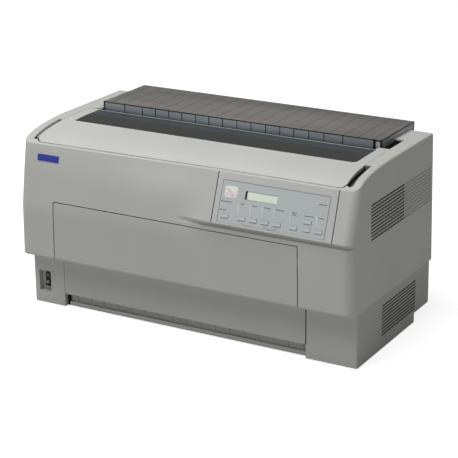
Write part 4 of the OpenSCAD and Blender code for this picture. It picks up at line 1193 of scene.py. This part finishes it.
def add_guide_walls(bm, x, end, low, high):
    """Top, front wall, side walls and the curved lip at the back."""
    step = GUIDE_FRONT + GUIDE_STEP
    under = high - GUIDE_WALL
    outline = [
        (-x, GUIDE_FRONT), (end, GUIDE_FRONT), (end, step), (x, step), (x, GUIDE_BACK),
        (-x, GUIDE_BACK),
    ]
    add_prism(bm, outline, "z", under, high - GUIDE_SKIN, CLEAR)
    add_box(bm, (-x, GUIDE_FRONT, low), (end, GUIDE_FRONT + GUIDE_WALL, under), PALE)
    for left in (-x, x - GUIDE_WALL):
        add_box(bm, (left, step, low), (left + GUIDE_WALL, GUIDE_BACK, under), PALE)
    inner = [(y - 1.4, z - 1.6) for y, z in BACK_LIP[::-1]]
    add_prism(bm, BACK_LIP + inner, "x", -BACK_LIP_X, BACK_LIP_X, CLEAR)


def add_guide_edges(bm, x, end, low, high):
    """Dark rims of the top, dark corner bars and the steel strip under the front."""
    front = GUIDE_FRONT
    rim = high - GUIDE_EDGE
    for start, stop in (
        ((-x, front - 0.2, rim), (end, front + GUIDE_EDGE, high)),
        ((x - GUIDE_EDGE, front + GUIDE_STEP, rim), (x, GUIDE_BACK, high)),
        ((x - 3, front + 3.5, low), (x, front + 5.5, high)),
        ((x - 2.2, GUIDE_BACK - 2, low), (x, GUIDE_BACK, high)),
        ((-x, front - 0.3, low), (-x + 3.5, front + 6, high)),
    ):
        add_box(bm, start, stop, DARK_EDGE)
    add_box(bm, (-x, front - 0.5, low), (end, front, low + 1.2), STEEL)


def build_guide(bm):
    """The smoked hood with its ribs."""
    low, high = GUIDE_Z
    front = GUIDE_FRONT
    end = FRONT_RIBS[-1]
    add_guide_walls(bm, GUIDE_X, end, low, high)
    for x in FRONT_RIBS:
        start = (max(x, -GUIDE_X), front - 0.6, low)
        add_box(bm, start, (x + GUIDE_EDGE, front + GUIDE_STEP, high - 1), DARK_EDGE)
    for x in TOP_RIBS:
        add_box(bm, (x, front + 1, high - 0.5), (x + RIB_LINE, GUIDE_BACK - 1, high), DARK_EDGE)
    add_guide_edges(bm, GUIDE_X, end, low, high)


paper_guide = solid_piece(
    "paper_guide_hood", build_guide, "smoke_guide", "paper_guide",
    ["smoke_guide", "smoke_front", "smoke_edge", "tear_steel"], bevel=0.25,
)
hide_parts("paper_guide")


# --- print on the control panel ---------

# The panel's face: foot, lean from upright, and directions up its slope and out of it
PANEL_FOOT = Vector((0, -193, 240))
PANEL_TILT = math.atan(33 / 85)
PANEL_UP = Vector((0, math.sin(PANEL_TILT), math.cos(PANEL_TILT)))
PANEL_OUT = Vector((0, -math.cos(PANEL_TILT), math.sin(PANEL_TILT)))
# Where the film's frame lines start and end up the slope
FILM_V = (4, 79)
# How far the back of all print, and the faces of marks, sticker and what lies over
# both, stand out of the panel
PRINT_BACK = -0.2
PRINT_LIFT = 0.42
STICKER_LIFT = 0.46
OVER_LIFT = 0.5
FRAME_LINE = 0.8
LABEL_LINE = 1.3
DIVIDER_LINE = 1.4
DIVIDER_V = (20.4, 41)
# Upper and lower x of the slanting lines between the groups of keys
DIVIDERS = (
    (121.7, 124.6), (144.9, 147.6), (168.9, 171.4), (192.6, 194.9), (224, 226.8), (274.5, 277.7),
)
# Bars in place of the labels: start, end and height up the slope
LABELS = (
    (87, 110, 40.5), (87, 100, 25.5), (126, 134, 40.5), (150, 159, 40.5), (173, 186, 40.5),
    (196, 213, 40.5), (228, 238, 40.5), (228, 236, 37), (252, 270, 38.5), (279, 290, 38.5),
    (275, 291, 62),
)
STICKER_AT = (104.5, 58.5)
STICKER_SIZE = (25, 21)
STROKES = ((95, 103, 62), (98, 108, 58), (94, 99, 54), (104, 111, 53))
STROKE_LINE = 1.6
DISPLAY_EDGE = (133.2, 50, 136.4, 64.8)
# Materials of the print
DARK, LIGHT, RED, BLUE, WHITE, BLACK = range(6)
# Bows under two groups of keys: middle, height of the ends, width and material
BOWS = ((146.5, 7.6, 22, RED), (191, 7.6, 26, BLUE))
BOW_DEPTH = 3.4
BOW_LINE = 2.2


def on_panel(x, v, lift):
    """A point on the panel: x across, v up its slope, lift out of its face."""
    return PANEL_FOOT + Vector((x, 0, 0)) + PANEL_UP * v + PANEL_OUT * lift


def add_print(bm, corners, material, lift=PRINT_LIFT):
    """A thin printed area: corners as (x, v) on the panel, anticlockwise."""
    loops = ([on_panel(x, v, height) for x, v in corners] for height in (PRINT_BACK, lift))
    add_loft(bm, *loops, material)


def add_bar(bm, x0, v0, x1, v1, material, lift=PRINT_LIFT):
    add_print(bm, [(x0, v0), (x1, v0), (x1, v1), (x0, v1)], material, lift)


def add_bow(bm, x, v, width, material):
    """A flat bow under a group of keys."""
    steps = [i / 8 for i in range(9)]
    outer = [(x + width * (t - 0.5), v - BOW_DEPTH * math.sin(math.pi * t)) for t in steps]
    inner = [(px, pv + BOW_LINE) for px, pv in outer[::-1]]
    add_print(bm, outer + inner, material)


def add_sticker(bm):
    """A plain pale sticker with a few strokes."""
    outline = [
        (STICKER_AT[0] + u, STICKER_AT[1] + v) for u, v in rounded_outline(*STICKER_SIZE, 4)
    ]
    add_print(bm, outline, WHITE, STICKER_LIFT)
    for start, end, v in STROKES:
        add_bar(bm, start, v, end, v + STROKE_LINE, RED, OVER_LIFT)


def build_panel_print(bm):
    """Frame lines, dividers, labels, sticker and bows on the film."""
    x0, x1 = FILM_LOW.x + FILM_LAP, FILM_HIGH.x - FILM_LAP
    v0, v1 = FILM_V
    add_bar(bm, x0, v1 - FRAME_LINE, x1, v1, DARK)
    add_bar(bm, x0, v0, x0 + FRAME_LINE, v1, DARK)
    add_bar(bm, x1 - FRAME_LINE, v0, x1, v1, DARK)
    low, high = DIVIDER_V
    for top, foot in DIVIDERS:
        ends = [(foot, low), (foot + DIVIDER_LINE, low), (top + DIVIDER_LINE, high), (top, high)]
        add_print(bm, ends, LIGHT)
    for start, end, v in LABELS:
        add_bar(bm, start, v, end, v + LABEL_LINE, DARK)
    add_sticker(bm)
    add_bar(bm, *DISPLAY_EDGE, BLACK, OVER_LIFT)
    for bow in BOWS:
        add_bow(bm, *bow)


solid_piece(
    "panel_print", build_panel_print, "overlay_film", "chassis",
    ["print_dark", "print_light", "print_red", "print_blue", "sticker", "black_and_painted_gap_shade"], bevel=0.05,
)


# --- carried CAD nodes ------------------

SLOTS = {part["node"]: part["material_slot"] for part in frame["record"]["subparts"]}
# The base housing takes the plastic whose sides carry a painted shade
OWN_MATERIALS = {"base_housing": "base_grey_painted_side_shade"}


def dress(name, node):
    """Gives a carried CAD node its material and softened edges."""
    node.data.materials.clear()
    node.data.materials.append(MATERIALS[OWN_MATERIALS.get(name, SLOTS[name])])
    flat = node.modifiers.new("flat", "DECIMATE")
    flat.decimate_type = "DISSOLVE"
    flat.angle_limit = math.radians(1)
    add_bevel(node, 0.4)
    normals = node.modifiers.new("normals", "WEIGHTED_NORMAL")
    normals.keep_sharp = True


for name, node in frame["nodes"].items():
    if not node.hide_render:
        dress(name, node)


# --- stage and light --------------------

FLOOR_SIZE = 6
FLOOR_COLOR = (0.6, 0.6, 0.6, 1)
# What the floor adds for the camera alone, so that it reads white outside the shadow
FLOOR_GLOW = 0.8
WHITE_COLOR = (1, 1, 1, 1)
WORLD_LEVEL = 0.17


def camera_gate(tree, others, seen):
    """Mixes two shaders: the camera sees the second, other rays the first."""
    path = add_node(tree, "LightPath")
    gate = add_node(tree, "MixShader")
    tree.links.new(path.outputs["Is Camera Ray"], gate.inputs["Fac"])
    tree.links.new(others.outputs[0], gate.inputs[1])
    tree.links.new(seen.outputs[0], gate.inputs[2])
    return gate.outputs["Shader"]


def make_floor_material():
    """Pale and dull, with a glow that only the camera sees."""
    material = bpy.data.materials.new("floor_white")
    material.use_nodes = True
    tree = material.node_tree
    bsdf = tree.nodes["Principled BSDF"]
    bsdf.inputs["Base Color"].default_value = FLOOR_COLOR
    bsdf.inputs["Roughness"].default_value = 0.9
    clear = add_node(tree, "Emission", {"Strength": 0})
    glow = add_node(tree, "Emission", {"Strength": FLOOR_GLOW})
    total = add_node(tree, "AddShader")
    tree.links.new(bsdf.outputs["BSDF"], total.inputs[0])
    tree.links.new(camera_gate(tree, clear, glow), total.inputs[1])
    tree.links.new(total.outputs["Shader"], tree.nodes["Material Output"].inputs["Surface"])
    return material


def make_floor():
    bm = bmesh.new()
    bmesh.ops.create_grid(bm, x_segments=2, y_segments=2, size=FLOOR_SIZE)
    mesh = bpy.data.meshes.new("floor")
    bm.to_mesh(mesh)
    bm.free()
    mesh.materials.append(make_floor_material())
    floor = bpy.data.objects.new("floor", mesh)
    bpy.context.scene.collection.objects.link(floor)


def make_world():
    """Soft light from all round, while the camera sees plain white."""
    world = bpy.data.worlds.new("studio")
    bpy.context.scene.world = world
    world.use_nodes = True
    tree = world.node_tree
    soft = tree.nodes["Background"]
    soft.inputs["Color"].default_value = WHITE_COLOR
    soft.inputs["Strength"].default_value = WORLD_LEVEL
    white = add_node(tree, "Background", {"Color": WHITE_COLOR, "Strength": 1})
    tree.links.new(camera_gate(tree, soft, white), tree.nodes["World Output"].inputs["Surface"])


def make_light(name, place, aim, size, power):
    """A rectangular area light. Places and sizes are in metres, the power in watts."""
    data = bpy.data.lights.new(name, "AREA")
    data.shape = "RECTANGLE"
    data.size, data.size_y = size
    data.energy = power
    light = bpy.data.objects.new(name, data)
    way = Vector(aim) - Vector(place)
    turn = way.to_track_quat("-Z", "Y").to_matrix().to_4x4()
    light.matrix_world = Matrix.Translation(place) @ turn
    bpy.context.scene.collection.objects.link(light)


make_floor()
make_world()
make_light("overhead", (-0.7, -1.0, 3.2), (0, 0, 0.2), (2.6, 2.0), 86)
make_light("side_fill", (2.6, -0.2, 1.1), (0.3, 0, 0.2), (2.0, 2.0), 3.2)
